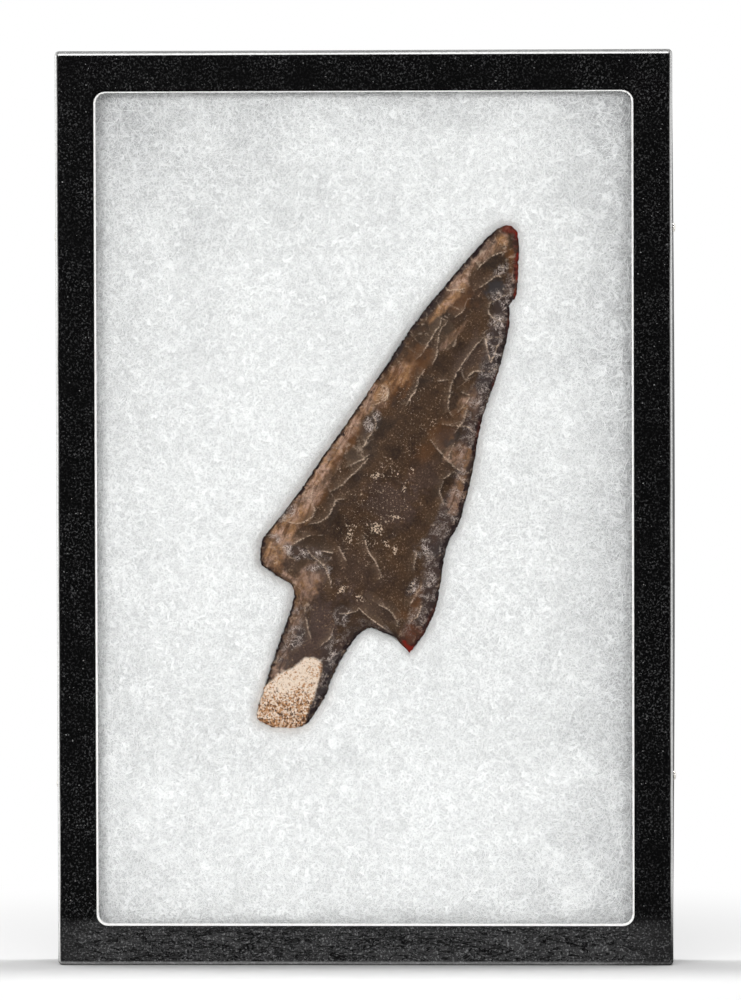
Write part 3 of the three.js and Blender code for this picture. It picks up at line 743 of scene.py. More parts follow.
# Large flake scars of the face: where the blow fell, how far it ran, its width and depth, and
# how abruptly it ends (1 feathers out, 6 breaks off in a step)
largeScars = [
    (-2.2, 184, 6.2, 176.2, 4.7, 0.35, 2), (-4.1, 177.5, 6.4, 171.5, 5.1, 0.45, 3),
    (-6.8, 171.9, 2.9, 164.3, 5.1, 0.6, 2), (-9, 164.5, 2.8, 160.5, 5.4, 0.6, 4),
    (-10.6, 155.6, 1, 153, 6.1, 0.6, 2), (-12.5, 149.9, 3.8, 141.7, 7.5, 0.9, 5),
    (-14.7, 141.5, -3.9, 140.8, 5.4, 0.5, 2), (-16.3, 135.2, -1.5, 127, 8.1, 1, 4),
    (-18, 126.6, -2.5, 121, 7.5, 0.9, 2), (-19.6, 117.7, -7.9, 114.8, 8.1, 0.9, 6),
    (-22.4, 109, -9.1, 106.8, 8.8, 1, 5), (-23.6, 100.3, -7.2, 98.4, 8.8, 0.8, 2),
    (-24.6, 91.7, -9.6, 80.5, 11.5, 1.2, 5), (-27.2, 80.8, -11.7, 79.6, 9.5, 0.8, 2),
    (-29.6, 69.7, -12.9, 69.7, 10.2, 1.1, 6), (-31.4, 59.6, -5.6, 60, 11.5, 1.1, 3),
    (6, 182.4, 3.9, 173, 5.4, 0.45, 2), (9.5, 175.5, 5.6, 167.4, 6.1, 0.5, 3),
    (12.7, 165, 6.8, 162.3, 7.5, 0.8, 5), (14.5, 158.4, 8.4, 146.3, 7.5, 0.7, 2),
    (16.8, 150.1, 5.8, 134, 8.8, 1, 3), (18.4, 140.7, 7.5, 123.6, 9.5, 1.1, 5),
    (19.5, 131.6, 10.3, 117.4, 8.1, 0.9, 2), (20.2, 121.8, 6.8, 110.2, 8.8, 1.1, 6),
    (22.1, 112.6, 11.4, 106.7, 8.1, 0.9, 3), (23.8, 103.8, 17.6, 92.8, 10.2, 1.1, 5),
    (25.4, 94.4, 15.8, 84.5, 8.8, 0.9, 3), (26.4, 85.6, 20.7, 73.7, 9.5, 0.9, 6),
    (28.1, 75.2, 19.3, 60, 10.2, 1.1, 4), (29.5, 64.6, 19.2, 56.2, 8.8, 0.9, 2),
    (30.6, 53.9, 20.7, 48.7, 8.8, 0.7, 3), (29.9, 42.4, 19.2, 56.2, 6.8, 0.8, 2),
    (-17.6, 47.2, -11.1, 57.5, 10.2, 0.9, 5), (-25.5, 46.6, -19.4, 59.4, 8.8, 0.7, 3),
    (-14.4, 37.4, -7.3, 42.5, 7.5, 0.7, 2), (-12.6, 25.2, -6.2, 30, 8.1, 0.8, 4),
    (-11.1, 12.9, -5.4, 18.4, 8.1, 0.8, 2), (-9.7, 2.3, -5.6, 7.9, 7.5, 0.6, 2),
    (10.8, 37.6, 2.2, 48.6, 10.2, 1, 5), (15.9, 42.9, 8.5, 55.2, 8.8, 1, 2),
    (23.9, 41.6, 14.5, 54.2, 7.5, 0.8, 4), (9, 29.3, -0.6, 32.5, 8.1, 0.9, 3),
    (8.4, 19.8, 1.8, 20.5, 7.5, 0.7, 2), (7.6, 10.1, 1.5, 12.9, 7.5, 0.6, 3),
    (0, -0.4, -2.5, 9.3, 13.6, 0.7, 2), (-18.9, 108, -13.8, 89.8, 13.6, 0.7, 2),
    (-3.4, 61, 5.7, 98.6, 22, 0.8, 3), (2, 152, 4.5, 118, 12, 0.7, 2),
]

# Rows of small scars along every margin: spacing, length, width, depth
retouchRows = [(6.2, 8.0, 7.6, 0.50), (3.6, 4.4, 4.6, 0.30), (1.7, 1.9, 2.0, 0.15)]
scatter = {"place": 0.3, "slant": 0.45, "size": (0.65, 1.35), "endings": [2, 3, 6]}
nibbles = {"every": 1.4, "spacing": (0.5, 2.4), "width": (0.9, 3.6), "depth": (0.08, 0.62)}

# Soft patches of colour: (across, along, half width, half length, turn in degrees, strength)
patches = {
    "redStain": [
        (1.5, 187.4, 4.6, 2.2, 0, 0.8), (6.6, 183.2, 1.8, 4, -33, 0.6),
        (9.6, 176, 1.3, 5.5, -22, 0.8), (12.6, 168, 1.1, 4, -20, 0.8),
        (29.2, 40.6, 4, 3.6, 0, 1.15), (28.4, 46, 4.2, 6.5, 0, 0.4),
        (14.6, 157.5, 0.9, 4, -20, 0.6), (18.5, 137, 0.9, 6, -8, 0.5),
        (20.6, 118, 0.9, 6, -13, 0.5), (31.2, 58, 0.8, 8, 0, 0.5), (-22, 108, 1, 3, 0, 0.3),
    ],
    "amber": [
        (4.6, 179.6, 2.4, 1.6, 20, 0.9), (7.4, 176, 1, 5, -22, 0.9), (-4, 158.2, 4.8, 5, 0, 0.7),
        (-9.8, 131, 4.6, 9, 18, 0.9), (-13.5, 119, 4.4, 7, 18, 0.9), (-19, 96, 1.8, 12, 14, 0.9),
        (-22.4, 72, 2.2, 9, 24, 1), (24.8, 57.6, 1.7, 7, -11, 1.1), (27.4, 47, 3.6, 5, 0, 0.7),
        (22, 52, 3, 2, 0, 0.5), (8.6, 112, 3.6, 12, 15, 0.55), (-20, 57, 8, 1.2, -20, 0.7),
    ],
    "tan": [
        (-2, 176, 1.8, 7, 28, 0.7), (0.8, 182.8, 2.8, 2, 0, 0.7), (-6.6, 162.4, 3, 3, 20, 1),
        (-8.4, 153, 1.6, 8, 20, 0.8), (-12.4, 127, 3.2, 6, 18, 0.7),
        (-15.8, 117, 3.2, 4.4, 18, 0.9), (17.6, 110, 4.2, 4.6, -12, 1),
        (22.6, 97, 2.6, 7, -10, 0.9), (13.4, 127, 3.4, 4, -12, 0.6),
        (-12.6, 49, 4.2, 9.5, 0, 0.55), (-1, 146, 1, 8, 20, 0.4), (10, 173, 1.2, 3, -20, 0.5),
    ],
    "frost": [
        (9, 163.8, 3.6, 3.6, 0, 1.2), (11.6, 153, 2.8, 8.5, -12, 1.3),
        (15.4, 142, 2.2, 8, -8, 0.9), (18, 127, 2, 8, -9, 0.9), (5, 173, 2.6, 2.2, 0, 0.7),
        (-14.6, 107, 2.4, 4.6, 12, 1.1), (20.7, 76, 4, 3.4, 0, 1.3),
        (21.4, 62.6, 1.4, 4.4, 8, 1.5), (-17.6, 57.6, 7.6, 2.4, -14, 1.2),
        (-10.6, 55, 5, 1.6, -20, 1), (25, 86, 1.8, 8, -5, 0.9), (26.6, 66, 2.6, 8, -10, 0.9),
        (-27.6, 69, 1.6, 6, 28, 0.9), (-28.8, 58, 2.2, 1.6, 0, 0.9), (-8.4, 30, 2.8, 7, 8, 1),
        (4.4, 30, 2.6, 7, 8, 0.9), (3, 43.5, 3.4, 3, 20, 1), (-9.6, 38, 3, 4, 0, 0.5),
        (21, 106, 1.6, 6, -12, 0.7), (-22, 93, 1.2, 5, 12, 0.7),
    ],
    "slate": [
        (5.6, 167, 3.3, 3.2, 0, 1.3), (-12.6, 150, 1.6, 7, 20, 1.2), (-17, 133, 1.7, 6, 14, 1.5),
        (-9.6, 167, 2, 5.5, 24, 0.8), (-2.6, 179, 1.6, 4, 34, 0.6), (15, 141, 3, 9, -10, 0.8),
        (-13.4, 37.8, 3, 3.4, 0, 1.2), (-10.6, 28, 3.4, 7, 6, 0.9),
        (12, 113.5, 3.4, 4.4, 30, 0.8), (24.4, 77, 2.4, 3.6, 0, 0.8), (7.2, 14, 1.8, 9, 8, 1.3),
        (6.6, 27, 2, 5, 10, 0.9), (-8.8, 19.4, 2.4, 2.6, 0, 1.3),
    ],
    "umber": [
        (-12.4, 152, 2, 9, 20, 1), (-7.6, 170, 1.8, 9, 24, 1), (-17, 132, 1.6, 8, 16, 0.7),
        (-3.4, 182, 1.5, 5, 40, 0.8), (13.6, 160, 1.4, 8, -14, 0.8),
        (18.9, 135, 1.5, 12, -9, 0.9), (22.8, 110, 1.4, 9, -12, 0.9), (26.8, 86, 1.3, 9, -6, 0.9),
        (30.2, 60, 1.6, 10, -8, 0.9), (-24.8, 92, 1.2, 8, 14, 0.6), (-30, 66, 1.4, 6, 30, 0.7),
        (-31, 54, 1.6, 5, 0, 0.8), (-23, 47, 8, 1.2, 4, 0.7), (19, 44.4, 8, 1.3, 0, 0.8),
    ],
    "haze": [
        (-11.8, 50, 5, 9, 0, 1.2), (3, 86, 10, 8, 20, 0.8), (9, 99, 5, 7, 20, 0.6),
        (28, 47, 4, 6, 0, 0.8), (-2, 160, 4, 9, 20, 0.3), (0, 60, 12, 7, 0, 0.35),
        (-3, 32, 7, 16, 8, 1.3), (12, 50, 10, 4, 0, 0.6), (-24, 52, 8, 4, 0, 0.6),
        (7, 142, 4, 10, 16, 0.6),
    ],
    "flecks": [
        (2, 75.4, 2.2, 1.8, 30, 1.2), (-5.6, 69.9, 0.9, 3.4, -32, 1.1),
        (-5.3, 73.5, 1.2, 1, 0, 0.9), (7.4, 71.9, 1.2, 2, -20, 1.1),
        (10.6, 70.9, 0.8, 1.4, -20, 0.9), (6.9, 81.8, 2.2, 0.7, -14, 1),
        (6.2, 51.4, 2.4, 1.1, 10, 1.1), (-0.5, 52, 2, 1.8, -20, 1.1),
        (-4.4, 92.6, 5.6, 0.9, -24, 0.9), (4.9, 92.4, 0.8, 2.4, 0, 0.9),
        (4.6, 99.4, 0.8, 1.2, 0, 0.8), (21, 62.7, 0.8, 4.4, 10, 0.9),
        (-24.5, 50.8, 0.8, 0.8, 0, 1.2), (-17.8, 88.6, 1.6, 1.2, 0, 0.9),
        (-1, 84, 11, 14, 10, 0.36), (1, 110, 8, 14, 16, 0.3), (2, 66, 14, 10, 0, 0.28),
        (-8, 122, 5, 12, 16, 0.34),
    ],
}

# Bands of colour that follow a margin: along, width and strength at each place
leftBand = np.array([(44, 5, 0.4), (50, 7, 0.7), (58, 10, 0.9), (66, 8.5, 1), (80, 6, 1),
                     (96, 4.6, 1), (108, 4.2, 0.8), (118, 5, 0.5), (130, 4, 0.1), (150, 3, 0.1),
                     (160, 4, 0.6), (172, 3.5, 0.7), (184, 3, 0.3)])
rightBand = np.array([(-2, 3, 0.9), (20, 4, 0.9), (34, 4, 0.8), (42, 5, 0.2), (54, 7, 0.9),
                      (70, 7, 1), (90, 7.5, 0.9), (110, 6, 0.9), (128, 6, 1), (145, 7, 1),
                      (160, 6, 1), (170, 4, 0.7), (180, 2, 0.2)])

# Sharp pale arrises between the scars, traced as lines of (across, along)
arrises = [
    [(-7, 150.3), (-6.7, 147.4), (-7.3, 144), (-7.8, 140.7), (-8, 137.2), (-9.1, 133.6)],
    [(-4.7, 149.7), (-5.6, 146.5), (-5, 142), (-3.5, 137.8), (-3.3, 134.4)],
    [(-5.1, 131.6), (-5.8, 127.8), (-5.1, 124), (-5.8, 120.9), (-5.7, 118.2)],
    [(8.7, 149.8), (7.3, 146.1), (6.5, 142.3), (5.7, 138.1), (5.1, 133.4), (5.9, 127.6),
     (7.6, 122.8), (10, 120.8)],
    [(-1.4, 156.3), (-1.7, 154.5), (-3, 152.1)], [(6, 171), (3.7, 170), (0.7, 164.5)],
    [(9.9, 166.2), (7.7, 163.5), (5.9, 160.6), (7.2, 157.7), (10.2, 157), (13.9, 157.3)],
    [(9.2, 150.1), (11.2, 147.2), (14.4, 143.1), (14.1, 148.5), (15.3, 150.4)],
    [(0.4, 129.9), (3.4, 131.6)], [(7.6, 117), (12.5, 118.5), (16, 119.7), (18.9, 118.6)],
    [(6.4, 110.6), (10, 108.7), (14.4, 106.6), (17.7, 105.3), (21.3, 104.9)],
    [(14.3, 112.8), (14.4, 108.7), (14.9, 106.1)], [(-16.1, 90.2), (-12.5, 94.5), (-10.4, 97.5)],
    [(-13.5, 98.9), (-13.3, 102.4), (-12.9, 105.3)],
    [(-16, 111.5), (-13.3, 108.6), (-12.1, 105.7)],
    [(-3.9, 162.4), (-8.8, 159.5), (-10.4, 160.2)], [(13.4, 125.4), (13.8, 121.5), (12.8, 116.2)],
    [(4.1, 179.8), (0.6, 176.8), (-1.8, 173), (-2.4, 169.9)],
    [(-17.4, 120.6), (-14.6, 120.4), (-13, 117.7), (-14.8, 114.8), (-16.8, 113.2)],
    [(9.1, 135.2), (10.6, 137.9), (13.7, 139.3)], [(9.4, 129.8), (12.5, 129.1), (11.1, 123)],
    [(-17.4, 80.8), (-15.2, 83.6), (-13.9, 86.9), (-12.3, 91), (-10.4, 96)],
    [(-23.7, 80.4), (-22.5, 75.4), (-19.8, 71.8), (-21.1, 67.8), (-24.3, 65.7), (-28.7, 64.7)],
    [(-12, 80.3), (-14.7, 78.8), (-14.6, 76.2), (-15, 72.6), (-17, 69.3), (-19.6, 67.5)],
    [(-0.8, 71.4), (2.4, 67.4), (6.3, 65), (10.5, 61)], [(-7.4, 64.7), (-3.1, 61.4)],
    [(-17.5, 59.8), (-14, 57.9), (-9.2, 56.6), (-5.7, 53.4), (-3.9, 50.8)],
    [(-26.1, 55.9), (-22.7, 57.5), (-20.3, 61.3), (-17.5, 64.3)],
    [(7.6, 48.3), (11.7, 46.8), (16.3, 45.7), (20.9, 44.7)],
    [(12.8, 52.1), (17, 51.9), (20.5, 50), (22.1, 48)],
    [(16.1, 99.7), (16.2, 96.3), (17.6, 94.1), (20.3, 91.9)],
    [(18.4, 103.8), (21.8, 102.2), (24.3, 101.3)], [(18.2, 104.1), (15.8, 100.2)],
    [(17.6, 74.2), (18.3, 70.4), (19.6, 67.5)], [(23, 56.7), (23.5, 60.3), (23.9, 64.7)],
    [(25, 50.7), (26.9, 54.3), (26.2, 58.8)], [(2, 43.8), (4.9, 45.1), (7.8, 47.8)],
    [(26.6, 87.9), (25.3, 83.8), (24.8, 80.2)], [(-7.7, 38), (-5.6, 34.8), (-2.9, 31.9)],
    [(2.4, 38.4), (2.5, 35.1), (0.9, 30.9)], [(-11.9, 60.9), (-8.2, 61.9)],
]
# Ripples of the blow that ended at the left margin
arrises += [[(-17.0 + radius * np.cos(turn), 118.6 + radius * np.sin(turn))
             for turn in np.linspace(-1.3, 0.9, 5)] for radius in (1.5, 2.2, 2.9, 3.6)]
cortexOutline = [(-10.4, -0.6), (-11.6, 4.0), (-11.4, 9.5), (-8.3, 16.4), (-4.2, 21.0),
                 (-2.4, 25.0), (-0.1, 26.3), (3.4, 26.0), (4.6, 23.0), (5.6, 14.4),
                 (6.2, 7.0), (6.8, 3.6), (4.5, 1.0), (-6.3, -2.6)]


def softCurve(points, steps=40):
    # Catmull-Rom through the points, with each end carried on by its mirror image
    points = np.array(points, float)
    p = np.vstack([2 * points[0] - points[1], points, 2 * points[-1] - points[-2]])
    t = np.linspace(0, 1, steps, endpoint=False)[None, :, None]
    a, b, c, d = (p[k:len(p) - 3 + k, None, :] for k in range(4))
    curve = 0.5 * (2 * b + (c - a) * t + (2 * a - 5 * b + 4 * c - d) * t ** 2
                   + (3 * b - a - 3 * c + d) * t ** 3)
    return np.vstack([curve.reshape(-1, points.shape[1]), points[-1:]])


def marginChain(runs):
    # The runs end to end, with rib made to fall steadily so that it can be looked up
    chain = np.vstack([softCurve(run) for run in runs])
    chain[:, 2] = np.minimum.accumulate(chain[:, 2]) - np.arange(len(chain)) * 1e-6
    return chain[::-1]


leftChain, rightChain = marginChain(leftRuns), marginChain(rightRuns)


def onChain(chain, rib):
    # The margin's point at each rib value, between the chain's own points
    return np.stack([np.interp(rib, chain[:, 2], chain[:, k]) for k in (0, 1)], -1)


def ribRows(count):
    # Rib values spaced so that neither margin is sampled more thinly than the other
    rib = np.linspace(leftChain[0, 2], leftChain[-1, 2], 12000)
    steps = [np.linalg.norm(np.diff(onChain(chain, rib), axis=0), axis=1)
             for chain in (leftChain, rightChain)]
    travelled = np.concatenate([[0], np.cumsum(np.maximum(*steps) + 0.3 * np.diff(rib))])
    return np.interp(np.linspace(0, travelled[-1], count), travelled, rib)


def spineAcross(rib):
    # The spine wanders a little across the stone, as a slow sine along it
    middle, swing, slowness = stone["spine"]
    return middle + swing * np.sin(rib / slowness)


def halfThickness(rib):
    # Half the thickness on the spine, thinned smoothly towards the tip and the base
    toTip = eased(stone["tip"] - rib, *stone["tipTaper"])
    toBase = eased(rib, *stone["baseTaper"])
    return stone["thickness"] / 2 * toTip * toBase


def notched(margin, inner, seed):
    # The margin nibbled inwards by shallow arcs of random place, width and depth
    steps = np.linalg.norm(np.diff(margin, axis=0), axis=1)
    arc = np.concatenate([[0], np.cumsum(steps)])
    random = np.random.RandomState(seed)
    centre = np.cumsum(random.uniform(*nibbles["spacing"], int(arc[-1] / nibbles["every"])))
    width = random.uniform(*nibbles["width"], len(centre))
    depth = random.uniform(*nibbles["depth"], len(centre))
    reach = 1 - ((arc[:, None] - centre) / (width / 2)) ** 2
    bite = (np.clip(reach, 0, 1) * depth).max(1) + 0.05 * cloud(arc, arc * 0, 0.8, seed)
    ends = eased(arc, 0, 3) * eased(arc[-1] - arc, 0, 3)
    tangent = np.gradient(margin, axis=0)
    normal = np.stack([-tangent[:, 1], tangent[:, 0]], -1)
    normal /= np.maximum(np.linalg.norm(normal, axis=1, keepdims=True), 1e-9)
    side = np.sign(np.einsum("ij,ij->i", normal, inner - margin))[:, None]
    return margin + normal * side * (bite * ends)[:, None], arc


def marginScars(chain, inwardSign, seed):
    # Rows of small scars, each a blow on the margin that runs inwards with some scatter. A blow
    # moved past the end of the margin has no direction (not a number), and it never cuts.
    random = np.random.RandomState(seed)
    steps = np.linalg.norm(np.diff(chain[:, :2], axis=0), axis=1)
    arc = np.concatenate([[0], np.cumsum(steps)])
    found = []
    for spacing, length, width, depth in retouchRows:
        count = int((arc[-1] - spacing / 2) // spacing + 1)
        moved = random.uniform(-scatter["place"], scatter["place"], count) * spacing
        at = np.arange(spacing / 2, arc[-1], spacing) + moved
        behind, blow, ahead = (
            np.stack([np.interp(at + step, arc, chain[:, k]) for k in (0, 1)], -1)
            for step in (-1.5, 0, 1.5)
        )
        along = ahead - behind
        along /= np.linalg.norm(along, axis=1, keepdims=True)
        inward = inwardSign * np.stack([along[:, 1], -along[:, 0]], -1)
        inward += along * random.uniform(-scatter["slant"], scatter["slant"], (len(at), 1))
        vary = random.uniform(*scatter["size"], (len(at), 3))
        end = blow + inward * length * vary[:, :1]
        found.append(np.column_stack([blow, end, width * vary[:, 1], depth * vary[:, 2],
                                      random.choice(scatter["endings"], len(at))]))
    return np.vstack(found)


def scarCuts(x, z, scars, seed):
    # Each scar is a dish: a parabola across its width, a bulb near the blow and an end that
    # feathers out or breaks off. The deepest cut wins, and where two are equal is a ridge.
    random = np.random.RandomState(seed)
    deepest, second = np.zeros_like(x), np.full_like(x, -9.0)
    owner, travelled = np.full(x.shape, -1), np.zeros_like(x)
    for number, (ax, az, bx, bz, width, depth, ending) in enumerate(scars):
        length = np.hypot(bx - ax, bz - az)
        ex, ez = (bx - ax) / length, (bz - az) / length
        s = ((x - ax) * ex + (z - az) * ez) / length
        w = ((z - az) * ex - (x - ax) * ez) / (width / 2)
        w = w + 0.25 * cloud(x + 7 * number, z, 3.5, seed + 1)
        bulb = 0.55 + 0.45 * eased(s, -0.05, 0.25)
        fade = 1 - np.clip(s, 0, 1.6) ** ending
        spread = 0.8 + 0.5 * np.clip(s, 0, 1)
        cut = depth * (bulb * fade - (w / spread) ** 2)
        cut = np.where(s > -0.25, cut, -9.0)
        lower = cut > deepest
        second = np.where(lower, deepest, np.maximum(second, cut))
        deepest = np.where(lower, cut, deepest)
        owner = np.where(lower, number, owner)
        travelled = np.where(lower, np.hypot(x - ax, z - az), travelled)
    tone = np.append(random.uniform(-1, 1, len(scars)), 0.0)[owner]
    return deepest, second, tone, owner, travelled


def patchField(x, z, spots):
    # Soft-edged ellipses added up, their borders pushed about by noise
    total = np.zeros_like(x)
    for across, along, halfWide, halfLong, turn, strength in spots:
        a = np.radians(turn)
        dx, dz = x - across, z - along
        u = (dx * np.cos(a) - dz * np.sin(a)) / halfWide
        v = (dx * np.sin(a) + dz * np.cos(a)) / halfLong
        wobble = 0.35 * cloud(x, z, 2.6, 21) + 0.25 * cloud(x, z, 1.1, 22)
        total += strength * (1 - eased(np.hypot(u, v) + wobble, 0.45, 1.35))
    return np.clip(total, 0, 1.3)


def arrisField(x, z, lines):
    # Bell of the distance to the nearest traced line, which thins out towards the line's ends,
    # and beside it a painted slope of light and shade: above 0, lit, on the upper left side and
    # below 0, shaded, on the other
    field, slope = np.zeros_like(x), np.zeros_like(x)
    for line in lines:
        curve = softCurve(line, 6)
        low, high = curve.min(0) - 4, curve.max(0) + 4
        near = (x > low[0]) & (x < high[0]) & (z > low[1]) & (z < high[1])
        px, pz = x[near] + 0.25 * cloud(x[near], z[near], 1.3, 25), z[near]
        best, closest, side = np.zeros(px.shape), np.full(px.shape, 9.0), np.zeros(px.shape)
        for k in range(len(curve) - 1):
            (ax, az), (bx, bz) = curve[k], curve[k + 1]
            dx, dz = bx - ax, bz - az
            share = np.clip(((px - ax) * dx + (pz - az) * dz) / (dx * dx + dz * dz), 0, 1)
            gap = np.hypot(px - ax - share * dx, pz - az - share * dz)
            body = 0.6 + 0.4 * np.sin(np.pi * (k + share) / (len(curve) - 1))
            best = np.maximum(best, body * np.exp(-(gap / (0.21 * body)) ** 2))
            across = np.sign((pz - az) * dx - (px - ax) * dz) * np.sign(0.8 * dz + 0.6 * dx)
            side = np.where(gap < closest, across * np.sin(np.pi * np.clip(share, 0.1, 0.9)), side)
            closest = np.minimum(closest, gap)
        field[near] = np.maximum(field[near], best)
        own = side * np.clip(1 - closest / 3.5, 0, 1) ** 1.5
        slope[near] = np.where(np.abs(own) > np.abs(slope[near]), own, slope[near])
    return field, slope


def bandField(fromEdge, along, band):
    # Strength of a margin band: it starts behind the dark rim and fades out over its width
    width = np.interp(along, band[:, 0], band[:, 1])
    level = np.interp(along, band[:, 0], band[:, 2])
    share = fromEdge / width + 0.25 * cloud(fromEdge * 2, along, 4.5, 26)
    return level * eased(fromEdge, 0.3, 1.2) * (1 - eased(share, 0.7, 1.25))


def insidePolygon(x, z, corners):
    # Even-odd crossings of a ray to the right
    inside = np.zeros(x.shape, bool)
    for (ax, az), (bx, bz) in zip(corners, corners[1:] + corners[:1]):
        if az != bz:
            crosses = (z > az) != (z > bz)
            inside ^= crosses & (x < ax + (z - az) * (bx - ax) / (bz - az))
    return inside


def distanceTo(x, z, line):
    # Shortest distance from each point to the segments of a closed line
    best = np.full(x.shape, 1e9)
    for (ax, az), (bx, bz) in zip(line, np.roll(line, -1, axis=0)):
        dx, dz = bx - ax, bz - az
        share = np.clip(((x - ax) * dx + (z - az) * dz) / max(dx * dx + dz * dz, 1e-12), 0, 1)
        best = np.minimum(best, np.hypot(x - ax - share * dx, z - az - share * dz))
    return best


def stoneFace(columns, scars, seed, rib, margins):
    # Grid of a face: each row is a rib from the left margin over the spine to the right one.
    # The blank swells from a thin edge to the spine, and the scars are cut out of it.
    t = np.linspace(0, 1, columns + 1) ** stone["ribSpacing"]
    ridge = np.stack([spineAcross(rib), rib], -1)
    sides = [m[:, None] + (ridge - m)[:, None] * t[None, :, None] for m in margins]
    plane = np.concatenate([sides[0], sides[1][:, -2::-1]], 1)
    inward = np.concatenate([t, t[-2::-1]])[None, :]
    half = halfThickness(rib)[:, None]
    steepness, roundness = stone["swell"]
    swell = (1 - (1 - inward) ** steepness) ** roundness
    blank = stone["edge"] / 2 + (half - stone["edge"] / 2) * swell
    x, z = plane[..., 0], plane[..., 1]
    cut, second, tone, owner, travelled = scarCuts(x, z, scars, seed)
    ribLength = [np.linalg.norm(ridge - m, axis=1)[:, None] for m in margins]
    fromEdge = np.concatenate([ribLength[0] * t, (ribLength[1] * t)[:, -2::-1]], 1)
    narrow = np.concatenate([np.broadcast_to(ribLength[0], (len(rib), columns + 1)),
                             np.broadcast_to(ribLength[1], (len(rib), columns))], 1)
    allowed = np.clip(narrow / stone["fullWidth"], stone["leastShare"], 1)
    rippleHeight, rippleSpacing = stone["ripple"]
    wave = np.sin(2 * np.pi * travelled / rippleSpacing + owner)
    ripple = rippleHeight * wave * eased(cut, 0.02, 0.3)
    (lumpHeight, lumpWidth), (pimpleHeight, pimpleWidth) = stone["lumps"], stone["pimples"]
    uneven = lumpHeight * cloud(x, z, lumpWidth, seed + 5)
    uneven = uneven + pimpleHeight * cloud(x, z, pimpleWidth, seed + 6)
    arris, slope = arrisField(x, z, arrises)
    height = blank - cut * allowed + (ripple + uneven) * eased(fromEdge, 0.2, 2.0)
    height = height + stone["arrisHeight"] * arris
    height = np.maximum(height, 0.10 + 0.05 * np.minimum(fromEdge, 2))
    crest = np.exp(-((cut - second) / 0.06) ** 2) * eased(second, 0.04, 0.12)
    isLeft = np.arange(x.shape[1])[None, :] <= columns
    fields = {
        "crest": crest, "tone": tone, "fromEdge": fromEdge, "arris": arris, "slope": slope,
        "leftBand": bandField(fromEdge, z, leftBand) * isLeft,
        "rightBand": bandField(fromEdge, z, rightBand) * ~isLeft,
    }
    return plane, height, fields


chert = {
    "deep": (0.028, 0.0150, 0.0086), "body": (0.065, 0.0335, 0.0165), "haze": (0.066, 0.041, 0.034),
    "grit": (0.122, 0.069, 0.040), "pit": (0.012, 0.007, 0.005), "dust": (0.330, 0.220, 0.145),
    "dullScar": (0.028, 0.018, 0.012), "paleScar": (0.140, 0.094, 0.062),
    "violet": (0.056, 0.034, 0.029), "slate": (0.036, 0.031, 0.032), "amber": (0.128, 0.050, 0.015),
    "tanDeep": (0.150, 0.072, 0.036), "tanWarm": (0.370, 0.195, 0.090),
    "tanPale": (0.490, 0.310, 0.230), "tanPit": (0.040, 0.024, 0.018),
    # Painted light and painted shade for the two sides of an arris
    "litSlope": (0.190, 0.125, 0.085), "shadedSlope": (0.014, 0.009, 0.007),
    "umber": (0.016, 0.008, 0.008), "scuffed": (0.036, 0.024, 0.022), "frost": (0.62, 0.52, 0.47),
    "fleck": (0.62, 0.47, 0.35), "arris": (0.60, 0.45, 0.34), "rim": (0.014, 0.007, 0.008),
    "stainDeep": (0.026, 0.005, 0.004), "stain": (0.105, 0.016, 0.007),
    "stainRed": (0.170, 0.008, 0.003), "chalk": (0.735, 0.60, 0.49),
    "chalkBrown": (0.42, 0.21, 0.095), "chalkPit": (0.075, 0.030, 0.016),
}


def stoneNoises(tree):
    # The patterns that the layers share, from broad clouds to fine grit
    place = tree.place()
    lengthwise = tree.alongTurn(place, np.radians(stone["lean"]), 5.0)
    chips = tree.cells(place, 420, "F1", "Color")
    scuffs = tree.lines(place, 430, 0.042, 2.0, 2.2)
    return {
        "clouds": tree.noise(place, 150, 4.0, 0.62, 0.4),
        "mottle": tree.noise(place, 620, 4.0, 0.65, 0.3),
        "grit": tree.noise(place, 1500, 3.0, 0.7),
        "broken": tree.noise(place, 1500, 3.0, 0.75, 0.6),
        "crumbs": tree.noise(place, 1150, 4.0, 0.72, 0.5),
        "streaks": tree.noise(lengthwise, 560, 4.0, 0.6, 0.6),
        "chips": tree.add("ShaderNodeSeparateColor", None, {"Color": chips}, "Red"),
        "scuffs": scuffs.most(tree.lines(place, 800, 0.05, 2.0, 1.4) * 0.8),
        "gathered": tree.noise(place, 300, 3.0, 0.6, 0.4).smooth(0.42, 0.60),
        "footward": tree.part(place, "Z").smooth(0.100, 0.084),
    }


